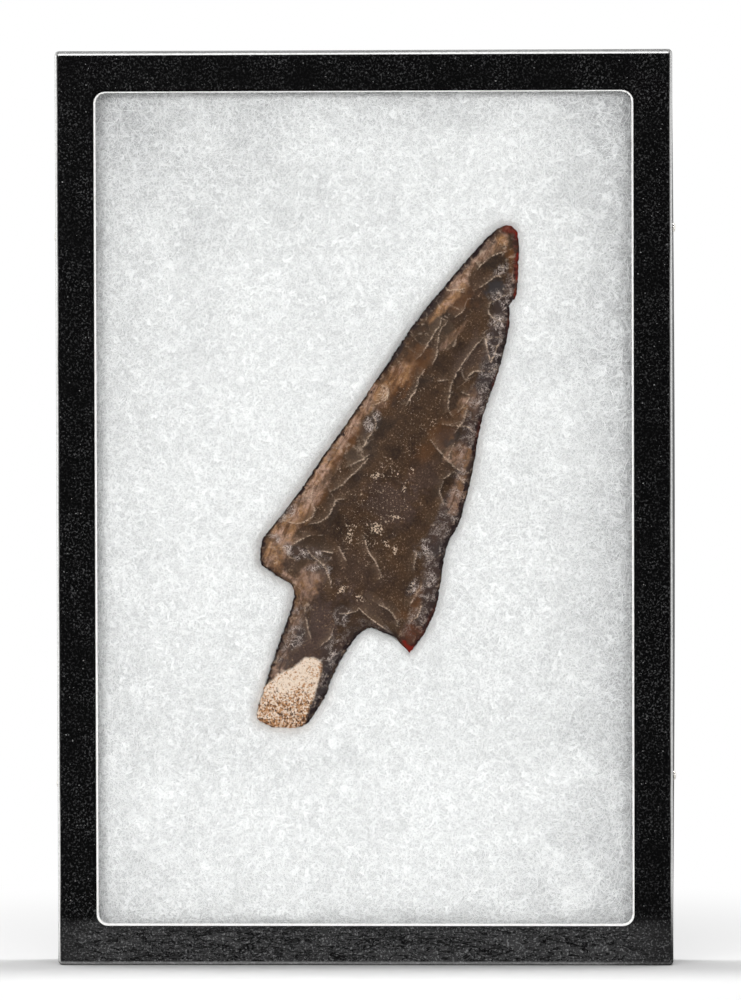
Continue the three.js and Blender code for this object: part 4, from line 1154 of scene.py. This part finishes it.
def stoneBody(tree, paint, field, noise):
    # Olive brown with darker clouds, a violet haze and a fine grit all through
    clouds, mottle, grit = noise["clouds"], noise["mottle"], noise["grit"]
    pale = tree.blend(paint["tanWarm"], paint["tanPale"], clouds.smooth(0.40, 0.56))
    tan = tree.blend(paint["tanDeep"], pale, noise["streaks"].smooth(0.34, 0.60))
    paleness = field["tan"].most(field["leftBand"]) * (0.34 + mottle.smooth(0.28, 0.62) * 0.76)
    colour = tree.blend(paint["deep"], paint["body"], clouds.smooth(0.30, 0.66))
    return tree.layered(colour, {**paint, "tan": tan}, [
        ("haze", field["haze"] * (0.3 + clouds), 0.9),
        ("grit", (grit - 0.51) * 3.4 * (0.3 + clouds), 0.6),
        ("pit", (0.48 - grit) * 3.2, 0.7),
        ("dust", (grit - 0.60) * 10 * clouds.smooth(0.40, 0.58), 0.7),
        # Scars differ a little in tone, and those of the right margin are violet grey
        ("dullScar", (0 - field["tone"]).smooth(0.2, 1.0) * 0.5, 1),
        ("paleScar", field["tone"].smooth(0.3, 1.0) * 0.25, 1),
        ("violet", field["rightBand"] * (0.3 + mottle), 0.85),
        ("slate", field["slate"] * (0.35 + clouds), 0.92),
        # Amber, and the pale tan flakes with streaks along the length
        ("amber", field["amber"] * (0.15 + mottle), 0.85),
        ("tan", paleness, 0.88),
        ("tanPit", (0.45 - grit) * 5 * paleness, 0.6),
        # Painted light on the upper left side of each arris and painted shade on the other,
        # and the dark stretches behind the rim
        ("litSlope", field["slope"] * 0.42, 1),
        ("shadedSlope", (0 - field["slope"]) * 0.60, 1),
        ("umber", field["umber"] * (0.25 + mottle), 0.9),
    ])


def stoneWear(tree, paint, field, noise, colour):
    # Frosted scuffs of fine white wandering lines and grains, cream flecks, and pale arrises
    # where two scars meet, worn and partly a painted highlight
    mottle, broken = noise["mottle"], noise["broken"]
    scuffed = field["frost"].most(field["rightBand"] * 0.6)
    grains = noise["scuffs"] + noise["grit"].smooth(0.62, 0.72) * 0.5
    frosted = scuffed * noise["gathered"] * grains
    flecked = (field["flecks"] * 0.42 + (broken - 0.5) * 3.2).smooth(0.50, 0.74)
    dashed = broken.smooth(0.36, 0.60) * mottle.smooth(0.30, 0.56)
    wornAndLit = field["arris"] * dashed * 1.2 + field["crest"] * mottle.smooth(0.46, 0.62) * 0.40
    colour = tree.layered(colour, paint, [
        ("scuffed", scuffed * 0.55, 1),
        ("frost", frosted, 0.9),
        ("fleck", flecked * field["flecks"].smooth(0.1, 0.4), 0.92),
        ("arris", wornAndLit, 0.75),
    ])
    return colour, frosted.least(1)


def stoneEdges(tree, paint, field, noise, colour):
    # A dark nibbled rim, and red stained tips
    mottle = noise["mottle"]
    inwards = field["fromEdge"] - field["rightBand"] * 0.8 + mottle * 4.2 + noise["chips"] * 1.4
    stain = tree.blend(paint["stainDeep"], paint["stain"], mottle.smooth(0.36, 0.66))
    reddest = (field["redStain"] - 0.60) * (0.4 + mottle * 3.2)
    stain = tree.layered(stain, paint, [("stainRed", reddest, 1)])
    return tree.layered(colour, {**paint, "stained": stain}, [
        ("rim", inwards.smooth(3.9, 2.7) * 0.94, 1),
        ("stained", field["redStain"] * (0.35 + mottle * 1.1), 0.95),
    ])


def stoneCrust(tree, paint, field, noise, colour):
    # The chalky crust left on the foot of the stem, browned and pitted towards its lower end
    crust = (field["cortex"] + (noise["mottle"] - 0.5) * 0.8).smooth(0.20, 0.72)
    lower = (noise["clouds"] - 0.5) * 0.36 + noise["footward"] * 0.10 - 0.062
    browned = (noise["crumbs"] + lower).smooth(0.48, 0.56)
    pitted = (noise["grit"] + lower).smooth(0.54, 0.61) * 0.95
    chalk = tree.blend(paint["chalk"], paint["chalkBrown"], browned)
    chalk = tree.blend(chalk, paint["chalkPit"], pitted)
    return tree.blend(colour, chalk, crust), crust


def stoneMaterial(paint):
    # Layers of paint, each laid over the last one by a field of the mesh times a noise
    material, tree = newMaterial("knapped_chert")
    field = {name: tree.attribute(name) for name in
             ["crest", "tone", "fromEdge", "arris", "slope", "leftBand", "rightBand", "cortex",
              *patches]}
    noise = stoneNoises(tree)
    colour = stoneBody(tree, paint, field, noise)
    colour, frosted = stoneWear(tree, paint, field, noise, colour)
    colour = stoneEdges(tree, paint, field, noise, colour)
    colour, crust = stoneCrust(tree, paint, field, noise, colour)
    relief = noise["mottle"] * 0.4 + noise["grit"] * (0.16 + frosted * 0.4)
    relief = relief - crust * noise["crumbs"] * 1.2
    finishMaterial(tree, {
        "Base Color": colour,
        "Roughness": (0.36 + noise["mottle"] * 0.14 + frosted * 0.25 + crust * 0.5).least(1),
        "Specular IOR Level": 0.07,
        "Normal": tree.bump(relief, 0.00014),
    })
    return material


def toCase(across, depth, along):
    # Turned in its own plane by the lean and moved to its place in the case
    c, s = np.cos(np.radians(stone["lean"])), np.sin(np.radians(stone["lean"]))
    rise = along - stone["middle"]
    x = stone["place"][0] + c * across + s * rise
    z = stone["place"][2] - s * across + c * rise
    return np.stack([x, stone["place"][1] + depth, z], -1)


def toStone(x, z):
    # The way back: turned by the lean the other way round, after its place is taken off
    c, s = np.cos(np.radians(stone["lean"])), np.sin(np.radians(stone["lean"]))
    dx, dz = x - stone["place"][0], z - stone["place"][2]
    return c * dx - s * dz, s * dx + c * dz + stone["middle"]


def knappedPoint():
    # Two faces of ribs, each blank minus its scars, back to back and joined along the margins
    rib = ribRows(stone["rows"])
    spinePoints = np.stack([spineAcross(rib), rib], -1)
    left, _ = notched(onChain(leftChain, rib), spinePoints, 31)
    right, _ = notched(onChain(rightChain, rib), spinePoints, 32)
    small = np.vstack([marginScars(leftChain, 1, 41), marginScars(rightChain, -1, 42)])
    behind = np.vstack([marginScars(leftChain, 1, 43), marginScars(rightChain, -1, 44)])
    mirrored = np.array(largeScars) * [1, 1, 1, 1, 1, 0.8, 1]
    front = stoneFace(stone["columns"], np.vstack([largeScars, small]), 51, rib, (left, right))
    rear = stoneFace(stone["backColumns"], np.vstack([mirrored, behind]), 52, rib, (left, right))
    allPoints, allFaces, fields, start = [], [], {}, 0
    for (plane, height, own), side in ((front, -1), (rear, 1)):
        x, z = plane[..., 0], plane[..., 1]
        rows, columns = x.shape
        allPoints.append(toCase(x, side * height, z).reshape(-1, 3))
        faces = gridFaces(rows, columns)
        allFaces.append((faces if side < 0 else faces[:, ::-1]) + start)
        own.update({name: patchField(x, z, spots) for name, spots in patches.items()})
        toCrust = distanceTo(x, z, np.array(cortexOutline))
        crustEdge = np.clip(toCrust / stone["crustEdge"], 0, 0.5)
        inside = insidePolygon(x, z, cortexOutline)
        own["cortex"] = 0.5 + np.where(inside, 1, -1) * crustEdge
        for name, values in own.items():
            fields.setdefault(name, []).append(values.ravel())
        start += rows * columns
    # A narrow wall joins the two faces along each margin
    rows, frontWide, rearWide = len(rib), front[1].shape[1], rear[1].shape[1]
    i = np.arange(rows - 1)
    shift = rows * frontWide
    for frontColumn, rearColumn, flip in ((0, 0, False), (frontWide - 1, rearWide - 1, True)):
        a, b = i * frontWide + frontColumn, shift + i * rearWide + rearColumn
        wall = np.stack([a, a + frontWide, b + rearWide, b], -1)
        allFaces.append(wall[:, ::-1] if flip else wall)
    fields = {name: np.concatenate(values) for name, values in fields.items()}
    return makePiece("knapped_point", np.vstack(allPoints) * mm, np.vstack(allFaces),
                     stoneMaterial(chert), fields, merge=2e-6)


pointPiece = knappedPoint()
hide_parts("arrowhead")
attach(pointPiece, "tray")
print("stone point knapped:", len(pointPiece.data.polygons))

# White fibre filling: pressed against the glass in the middle, falling away in soft lumps
# towards the window's edge, rolled down to the walls, with a bed under the stone

fibre = {
    "halfX": 98.8, "halfZ": 149.6, "front": -6.62, "back": 8.4, "corner": 9.0,
    "grid": 0.9, "roll": 7.0, "rollDepth": 8.0, "bedDepth": 11.9,
    "fall": 1.5, "lumps": 0.9, "rim": 4.6, "rimWidth": 1.5,
    "pressedTo": (91.0, 141.4),        # half sizes of the part that the glass presses on
    "slackCorner": (-88, 138, 24),     # across, along and width of the corner that sinks most
    "window": (91.4, 141.4),
    # Painted shade along the window, partly thinner fibre: which side (across, along), width and
    # strength
    "greySides": [(-1, 0, 16, 0.32), (1, 0, 18, 0.78), (0, 1, 13, 0.48), (0, -1, 8, 0.28)],
    "greyFoot": (80, 0.14),
    # Spots of painted shade, partly thinner fibre: across, along, width and strength
    "greyCorners": [(-88, 138, 33, 0.80), (88, 138, 20, 0.45),
                    (-88, -138, 17, 0.35), (90, -120, 25, 0.42)],
    "litByStone": (0.6, 2.2),          # strength and width of the bright rim of the bed
    # Soft lumps of the surface, each a height and a width, and the seed of its cloud
    "soft": [(0.6, 26, 61), (0.3, 11, 62), (0.25, 4.5, 63)],
    "fine": (0.10, 1.7, 64),
    "uneven": [(0.5, 18, 65), (0.3, 7, 66)],        # of the grey, in the same way
    "strandSets": 3, "strandsEach": 5200, "knots": 7,
    "strandLength": (3.5, 10.0), "strandRadius": (0.045, 0.085),
    "strandDrift": 0.7, "strandWobble": 0.22, "strandLift": (0.02, 0.6), "strandClear": 0.6,
    "strandFrom": (90.5, 140.9), "strandTo": (92, 142),
}


def fillingDepth(x, z, toOutline):
    # How far the fibre lies behind the glass, in millimetres: the fall towards the window's edge,
    # lumps, the quarter round down to the walls, and the bed, which is deepest under the stone
    fromWindow = np.minimum(fibre["pressedTo"][0] - np.abs(x), fibre["pressedTo"][1] - np.abs(z))
    broad = sum(height * cloud(x, z, width, seed) for height, width, seed in fibre["soft"])
    slackX, slackZ, slackWidth = fibre["slackCorner"]
    corner = np.exp(-np.hypot(x - slackX, (z - slackZ) * 0.8) / slackWidth)
    reach = 7 + 9 * broad + 22 * corner
    fall = fibre["fall"] * (0.7 + 0.4 * corner) * (1 - eased(fromWindow, -2, np.maximum(reach, 3)))
    lumps = fibre["lumps"] * np.clip(broad + 0.1, 0, None)
    fineHeight, fineWidth, fineSeed = fibre["fine"]
    fine = fineHeight * cloud(x, z, fineWidth, fineSeed) + fineHeight
    depth = fall + lumps + fine
    outside = np.minimum(fibre["halfX"] - np.abs(x), fibre["halfZ"] - np.abs(z))
    share = np.clip(1 - outside / fibre["roll"], 0, 1)
    depth = depth + fibre["rollDepth"] * (1 - np.sqrt(1 - share ** 2))
    bed = fibre["rim"] * np.exp(-np.clip(toOutline, 0, None) / fibre["rimWidth"])
    inside = np.clip(-toOutline, 0, 9) / 9
    bed = bed + (fibre["bedDepth"] - fibre["rim"]) * inside ** 0.55 * (toOutline < 0)
    return np.maximum(depth, 0.02) + bed


def fillingShade(x, z, toOutline):
    # How grey the filling is, from 0 to 1: painted shade, with thinner fibre in part, towards the
    # sides of the window and into its corners, where the frame shades the sunken fibre, and a
    # little darker towards the bottom. Each cause keeps the share of white it lets through. By the
    # stone it is below 0, painted light, because light that scatters in the fibre brightens the
    # steep side of the bed.
    def near(distance, width, strength):
        return 1 - strength * np.exp(-(np.clip(distance, 0, None) / width) ** 1.3)

    halfX, halfZ = fibre["window"]
    uneven = sum((height * cloud(x, z, width, seed) for height, width, seed in fibre["uneven"]), 1)
    litStrength, litWidth = fibre["litByStone"]
    white = 1.0
    for signX, signZ, width, strength in fibre["greySides"]:
        fromSide = (halfX if signX else halfZ) - signX * x - signZ * z
        white = white * near(fromSide, width * uneven, strength)
    white = white * near(halfZ + z, *fibre["greyFoot"])
    for cornerX, cornerZ, width, strength in fibre["greyCorners"]:
        white = white * near(np.hypot(x - cornerX, z - cornerZ), width * uneven, strength)
    return 1 - white - litStrength * np.exp(-np.clip(toOutline, 0, None) / litWidth)


lineRibs = ribRows(stone["outlineRows"])
stoneLine = np.vstack([onChain(leftChain, lineRibs)[::-1], onChain(rightChain, lineRibs)])


def outlineDistance(x, z):
    # Distance to the stone's outline, negative inside it
    across, along = toStone(x, z + caseMiddle)
    farAway, lowest, highest = 60.0, -30, 215
    distance = np.full(x.shape, farAway)
    near = (np.abs(across) < farAway) & (along > lowest) & (along < highest)
    line = stoneLine[::2]
    distance[near] = distanceTo(across[near], along[near], line)
    inside = insidePolygon(across, along, [tuple(p) for p in line])
    return np.where(inside, -distance, distance)


def fillingGrid():
    # Even square grid of depths, kept so that the loose strands can lie on it too
    x, z = (np.linspace(-half, half, int(2 * half / fibre["grid"]) + 1)
            for half in (fibre["halfX"], fibre["halfZ"]))
    gridX, gridZ = np.meshgrid(x, z, indexing="ij")
    away = outlineDistance(gridX, gridZ)
    return x, z, gridX, gridZ, fillingDepth(gridX, gridZ, away), away


def lookUp(table, x, z, values):
    # Bilinear value of a table over the square grid
    xs, zs = table
    i = np.clip((x - xs[0]) / (xs[1] - xs[0]), 0, len(xs) - 1.001)
    j = np.clip((z - zs[0]) / (zs[1] - zs[0]), 0, len(zs) - 1.001)
    m, n = i.astype(int), j.astype(int)
    f, g = i - m, j - n
    return ((values[m, n] * (1 - f) + values[m + 1, n] * f) * (1 - g)
            + (values[m, n + 1] * (1 - f) + values[m + 1, n + 1] * f) * g)


battingLook = {
    "strand": (0.86, 0.86, 0.865), "paleStrand": (0.96, 0.96, 0.96), "tint": 400,
    "hair": (0.97, 0.97, 0.97), "greyHair": (0.64, 0.64, 0.65),
    "gap": (0.70, 0.70, 0.705), "greyGap": (0.34, 0.34, 0.35), "litGap": (0.96, 0.96, 0.96),
    "hairs": 300, "finerHairs": (470, 700, 980), "clumps": 110, "pores": 1500, "relief": 0.0003,
}


def strandMaterial(look):
    # Near white, with a slow change of tint from one strand to the next
    material, tree = newMaterial("loose_fibre")
    tint = tree.noise(tree.place(), look["tint"], 2.0, 0.5).smooth(0.3, 0.7)
    finishMaterial(tree, {
        "Base Color": tree.blend(look["strand"], look["paleStrand"], tint),
        "Roughness": 0.6,
        "Specular IOR Level": 0.3,
    })
    return material


def battingMaterial(look):
    # Fine strands drawn on the filling as thin wandering lines of four sizes. The gaps between them
    # are darker, a painted shade between the fibres, and the grey attribute lays on both the
    # painted shade along the window and the painted light by the stone.
    material, tree = newMaterial("white_batting")
    place, grey = tree.place(), tree.attribute("grey")
    tangle = tree.lines(place, look["hairs"], 0.050, 1.5, 1.0)
    for turn, scale in enumerate(look["finerHairs"]):
        moved = tree.stretched(place, (1, 1, 1), (0, 0.9 * turn + 0.4, 0),
                               (0.3 * turn + 0.1, 0, 0.2))
        tangle = tangle.most(tree.lines(moved, scale, 0.060, 1.5, 0.8) * (0.95 - 0.08 * turn))
    clumps = tree.noise(place, look["clumps"], 4.0, 0.65)
    pores = tree.noise(place, look["pores"], 2.0, 0.6)
    shade = (grey + (clumps - 0.5) * 0.45 + (pores - 0.5) * 0.4).most(0).least(1)
    gaps = tree.blend(look["gap"], look["greyGap"], shade)
    gaps = tree.layered(gaps, look, [("litGap", 0 - grey, 1)])
    hairs = tree.blend(look["hair"], look["greyHair"], shade)
    finishMaterial(tree, {
        "Base Color": tree.blend(gaps, hairs, tangle),
        "Roughness": 0.9,
        "Specular IOR Level": 0.2,
        "Normal": tree.bump(tangle + clumps * 0.6, look["relief"], 0.6),
    })
    return material


def roundedPlan(x, z):
    # The square grid's corners pulled in to the filling's rounded corners
    flatX, flatZ = fibre["halfX"] - fibre["corner"], fibre["halfZ"] - fibre["corner"]
    a = np.clip((np.abs(x) - flatX) / fibre["corner"], 0, 1)
    b = np.clip((np.abs(z) - flatZ) / fibre["corner"], 0, 1)
    pulledA, pulledB = a * np.sqrt(1 - b * b / 2), b * np.sqrt(1 - a * a / 2)
    return (np.sign(x) * (np.minimum(np.abs(x), flatX) + fibre["corner"] * pulledA),
            np.sign(z) * (np.minimum(np.abs(z), flatZ) + fibre["corner"] * pulledB))


def fillingPiece(grid):
    # The grid pushed back from the glass by its depth, a flat back, and a skirt that joins them
    _, _, gridX, gridZ, depth, away = grid
    planX, planZ = roundedPlan(gridX, gridZ)
    top = np.stack([planX, fibre["front"] + depth, planZ + caseMiddle], -1)
    bottom = top.copy()
    bottom[..., 1] = fibre["back"]
    rows, columns = gridX.shape
    faces = gridFaces(rows, columns)
    border = np.concatenate([np.arange(columns), np.arange(1, rows) * columns + columns - 1,
                             np.arange(columns - 2, -1, -1) + (rows - 1) * columns,
                             np.arange(rows - 2, 0, -1) * columns])
    after = np.roll(border, -1)
    count = rows * columns
    skirt = np.stack([border, after, after + count, border + count], -1)
    allFaces = np.vstack([faces[:, ::-1], faces + count, skirt])
    points = np.vstack([top.reshape(-1, 3), bottom.reshape(-1, 3)])
    grey = np.concatenate([fillingShade(gridX, gridZ, away).ravel(), np.ones(count)])
    material = battingMaterial(battingLook)
    return makePiece("fibre_filling", points * mm, allFaces, material, {"grey": grey})


def strandLines(number, grid):
    # Each strand starts at a random spot and heading, and its heading drifts steadily and
    # wobbles, so that it lies on the filling in a loose curl. Those over the stone are left out.
    x, z, _, _, depth, away = grid
    random = np.random.RandomState(70 + number)
    count, knots = fibre["strandsEach"], fibre["knots"]
    startX, startZ = (random.uniform(-half, half, count) for half in fibre["strandFrom"])
    length = random.uniform(*fibre["strandLength"], count)
    heading = random.uniform(0, 2 * np.pi, count)[:, None]
    drift = random.normal(0, fibre["strandDrift"], count)[:, None]
    wobble = random.normal(0, fibre["strandWobble"], (count, knots)).cumsum(1)
    share = np.linspace(0, 1, knots)[None, :]
    heading = heading + drift * share + wobble
    step = (length / (knots - 1))[:, None]
    lineX = startX[:, None] + (np.cos(heading) * step).cumsum(1)
    lineZ = startZ[:, None] + (np.sin(heading) * step).cumsum(1)
    lineX, lineZ = (np.clip(line, -half, half)
                    for line, half in zip((lineX, lineZ), fibre["strandTo"]))
    under = lookUp((x, z), lineX, lineZ, depth)
    nearStone = lookUp((x, z), lineX, lineZ, away)
    radius = random.uniform(*fibre["strandRadius"], count)[:, None]
    lift = random.uniform(*fibre["strandLift"], count)[:, None]
    lift = lift * (0.35 + 0.65 * np.sin(np.pi * share))
    level = np.maximum(under - lift, radius + 0.01)
    keep = (nearStone > fibre["strandClear"]).all(1)
    return [values[keep] for values in (lineX, lineZ, level, radius, heading)]


def strandPiece(number, grid, material):
    # Strands are thin three-sided tubes round their lines, half as thick at both ends
    lineX, lineZ, level, radius, heading = strandLines(number, grid)
    knots, sides = fibre["knots"], 3
    taper = np.array([0.5] + [1.0] * (knots - 2) + [0.5])[None, :]
    rings = []
    for angle in 2 * np.pi * np.arange(sides) / sides:
        across, upward = np.cos(angle) * radius * taper, np.sin(angle) * radius * taper
        rings.append(np.stack([lineX - np.sin(heading) * across,
                               fibre["front"] + level + upward,
                               lineZ + np.cos(heading) * across + caseMiddle], -1))
    points = np.stack(rings, 2).reshape(-1, 3) * mm
    offset = np.arange(len(lineX))[:, None, None] * knots * sides
    tubes = (gridFaces(knots, sides, closeColumns=True)[None] + offset).reshape(-1, 4)
    last = (knots - 1) * sides
    caps = np.array([[0, 2, 1], [last, last + 1, last + 2]])
    ends = (caps[None] + offset).reshape(-1, 3)
    mesh = bpy.data.meshes.new("loose_fibres_" + str(number))
    mesh.from_pydata(points.tolist(), [], tubes.tolist() + ends.tolist())
    normalsOut(mesh)
    mesh.materials.append(material)
    return linked(mesh.name, mesh)


grid = fillingGrid()
filling = fillingPiece(grid)
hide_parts("fibre_pad")
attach(filling, "tray")
strandWhite = strandMaterial(battingLook)
for number in range(1, fibre["strandSets"] + 1):
    strands = strandPiece(number, grid, strandWhite)
    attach(strands, "tray")
print("filling laid:", len(filling.data.polygons))

# Finishes of the CAD nodes that stay: glass, boards, kraft strips and lining


glassLook = {"tint": (0.992, 0.996, 0.994), "polish": 0.02, "smears": 35, "smear": 0.03,
             "faceOn": 0.028, "edgeOn": 0.9}


def glassMaterial(look):
    # Clear, with a reflection that is a little smeared. It grows with the fifth power of the
    # slant, alike from both sides of the sheet: reflected = faceOn + edgeOn * slant^5.
    material, tree = newMaterial("sheet_glass")
    clear = tree.add("ShaderNodeBsdfTransparent", None, {"Color": look["tint"]})
    smear = tree.noise(tree.place(), look["smears"], 3.0, 0.6)
    gloss = tree.add("ShaderNodeBsdfGlossy", None,
                     {"Color": (1, 1, 1), "Roughness": look["polish"] + smear * look["smear"]})
    slant = tree.add("ShaderNodeLayerWeight", None, {"Blend": 0.5}, "Facing")
    reflected = slant ** 5 * look["edgeOn"] + look["faceOn"]
    mixed = tree.add("ShaderNodeMixShader", None, {0: reflected, 1: clear, 2: gloss})
    tree.add("ShaderNodeOutputMaterial", None, {"Surface": mixed})
    return material


def paperMaterial(name, values):
    # Paper and board: long pale and dark fibres, clouds of tone and a tooth in the surface
    material, tree = newMaterial(name)
    place = tree.place()
    fibres = tree.lines(tree.stretched(place, values["grainWay"]), 700, 0.05, 2.0, 0.8)
    clouds = tree.noise(place, 160, 4.0, 0.6)
    flecks = tree.noise(place, 1900, 2.0, 0.6).smooth(0.68, 0.75)
    colour = tree.blend(values["colour"], values["light"], clouds.smooth(0.3, 0.7))
    colour = tree.blend(colour, values["fleck"], (fibres * 0.3).most(flecks * 0.5))
    finishMaterial(tree, {
        "Base Color": colour,
        "Roughness": 0.9,
        "Specular IOR Level": 0.25,
        "Normal": tree.bump(clouds + fibres * 0.5, 0.00006),
    })
    return material


paperLooks = {
    "chipboard": {"colour": (0.93, 0.925, 0.91), "light": (0.97, 0.968, 0.96),
                  "fleck": (0.58, 0.54, 0.47), "grainWay": (1, 1, 1)},
    "kraft_strip": {"colour": (0.44, 0.30, 0.17), "light": (0.54, 0.38, 0.23),
                    "fleck": (0.32, 0.20, 0.11), "grainWay": (0.3, 1, 1)},
    "lining_paper": {"colour": (0.78, 0.77, 0.74), "light": (0.85, 0.84, 0.82),
                     "fleck": (0.66, 0.65, 0.62), "grainWay": (1, 1, 1)},
}
papers = {name: paperMaterial(name, values) for name, values in paperLooks.items()}


def dress(node, material):
    # Every material slot of a CAD node gets the finish; its mesh stays as it is
    for slotNumber in range(max(len(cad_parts[node].material_slots), 1)):
        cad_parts[node].material_slots[slotNumber].material = material


dress("glass_pane", glassMaterial(glassLook))
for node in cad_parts:
    if node.endswith("_board"):
        dress(node, papers["chipboard"])
    elif "_stay_" in node or "_tape_" in node:
        dress(node, papers["kraft_strip"])
    elif node.endswith("_lining"):
        dress(node, papers["lining_paper"])
print("finishes set")
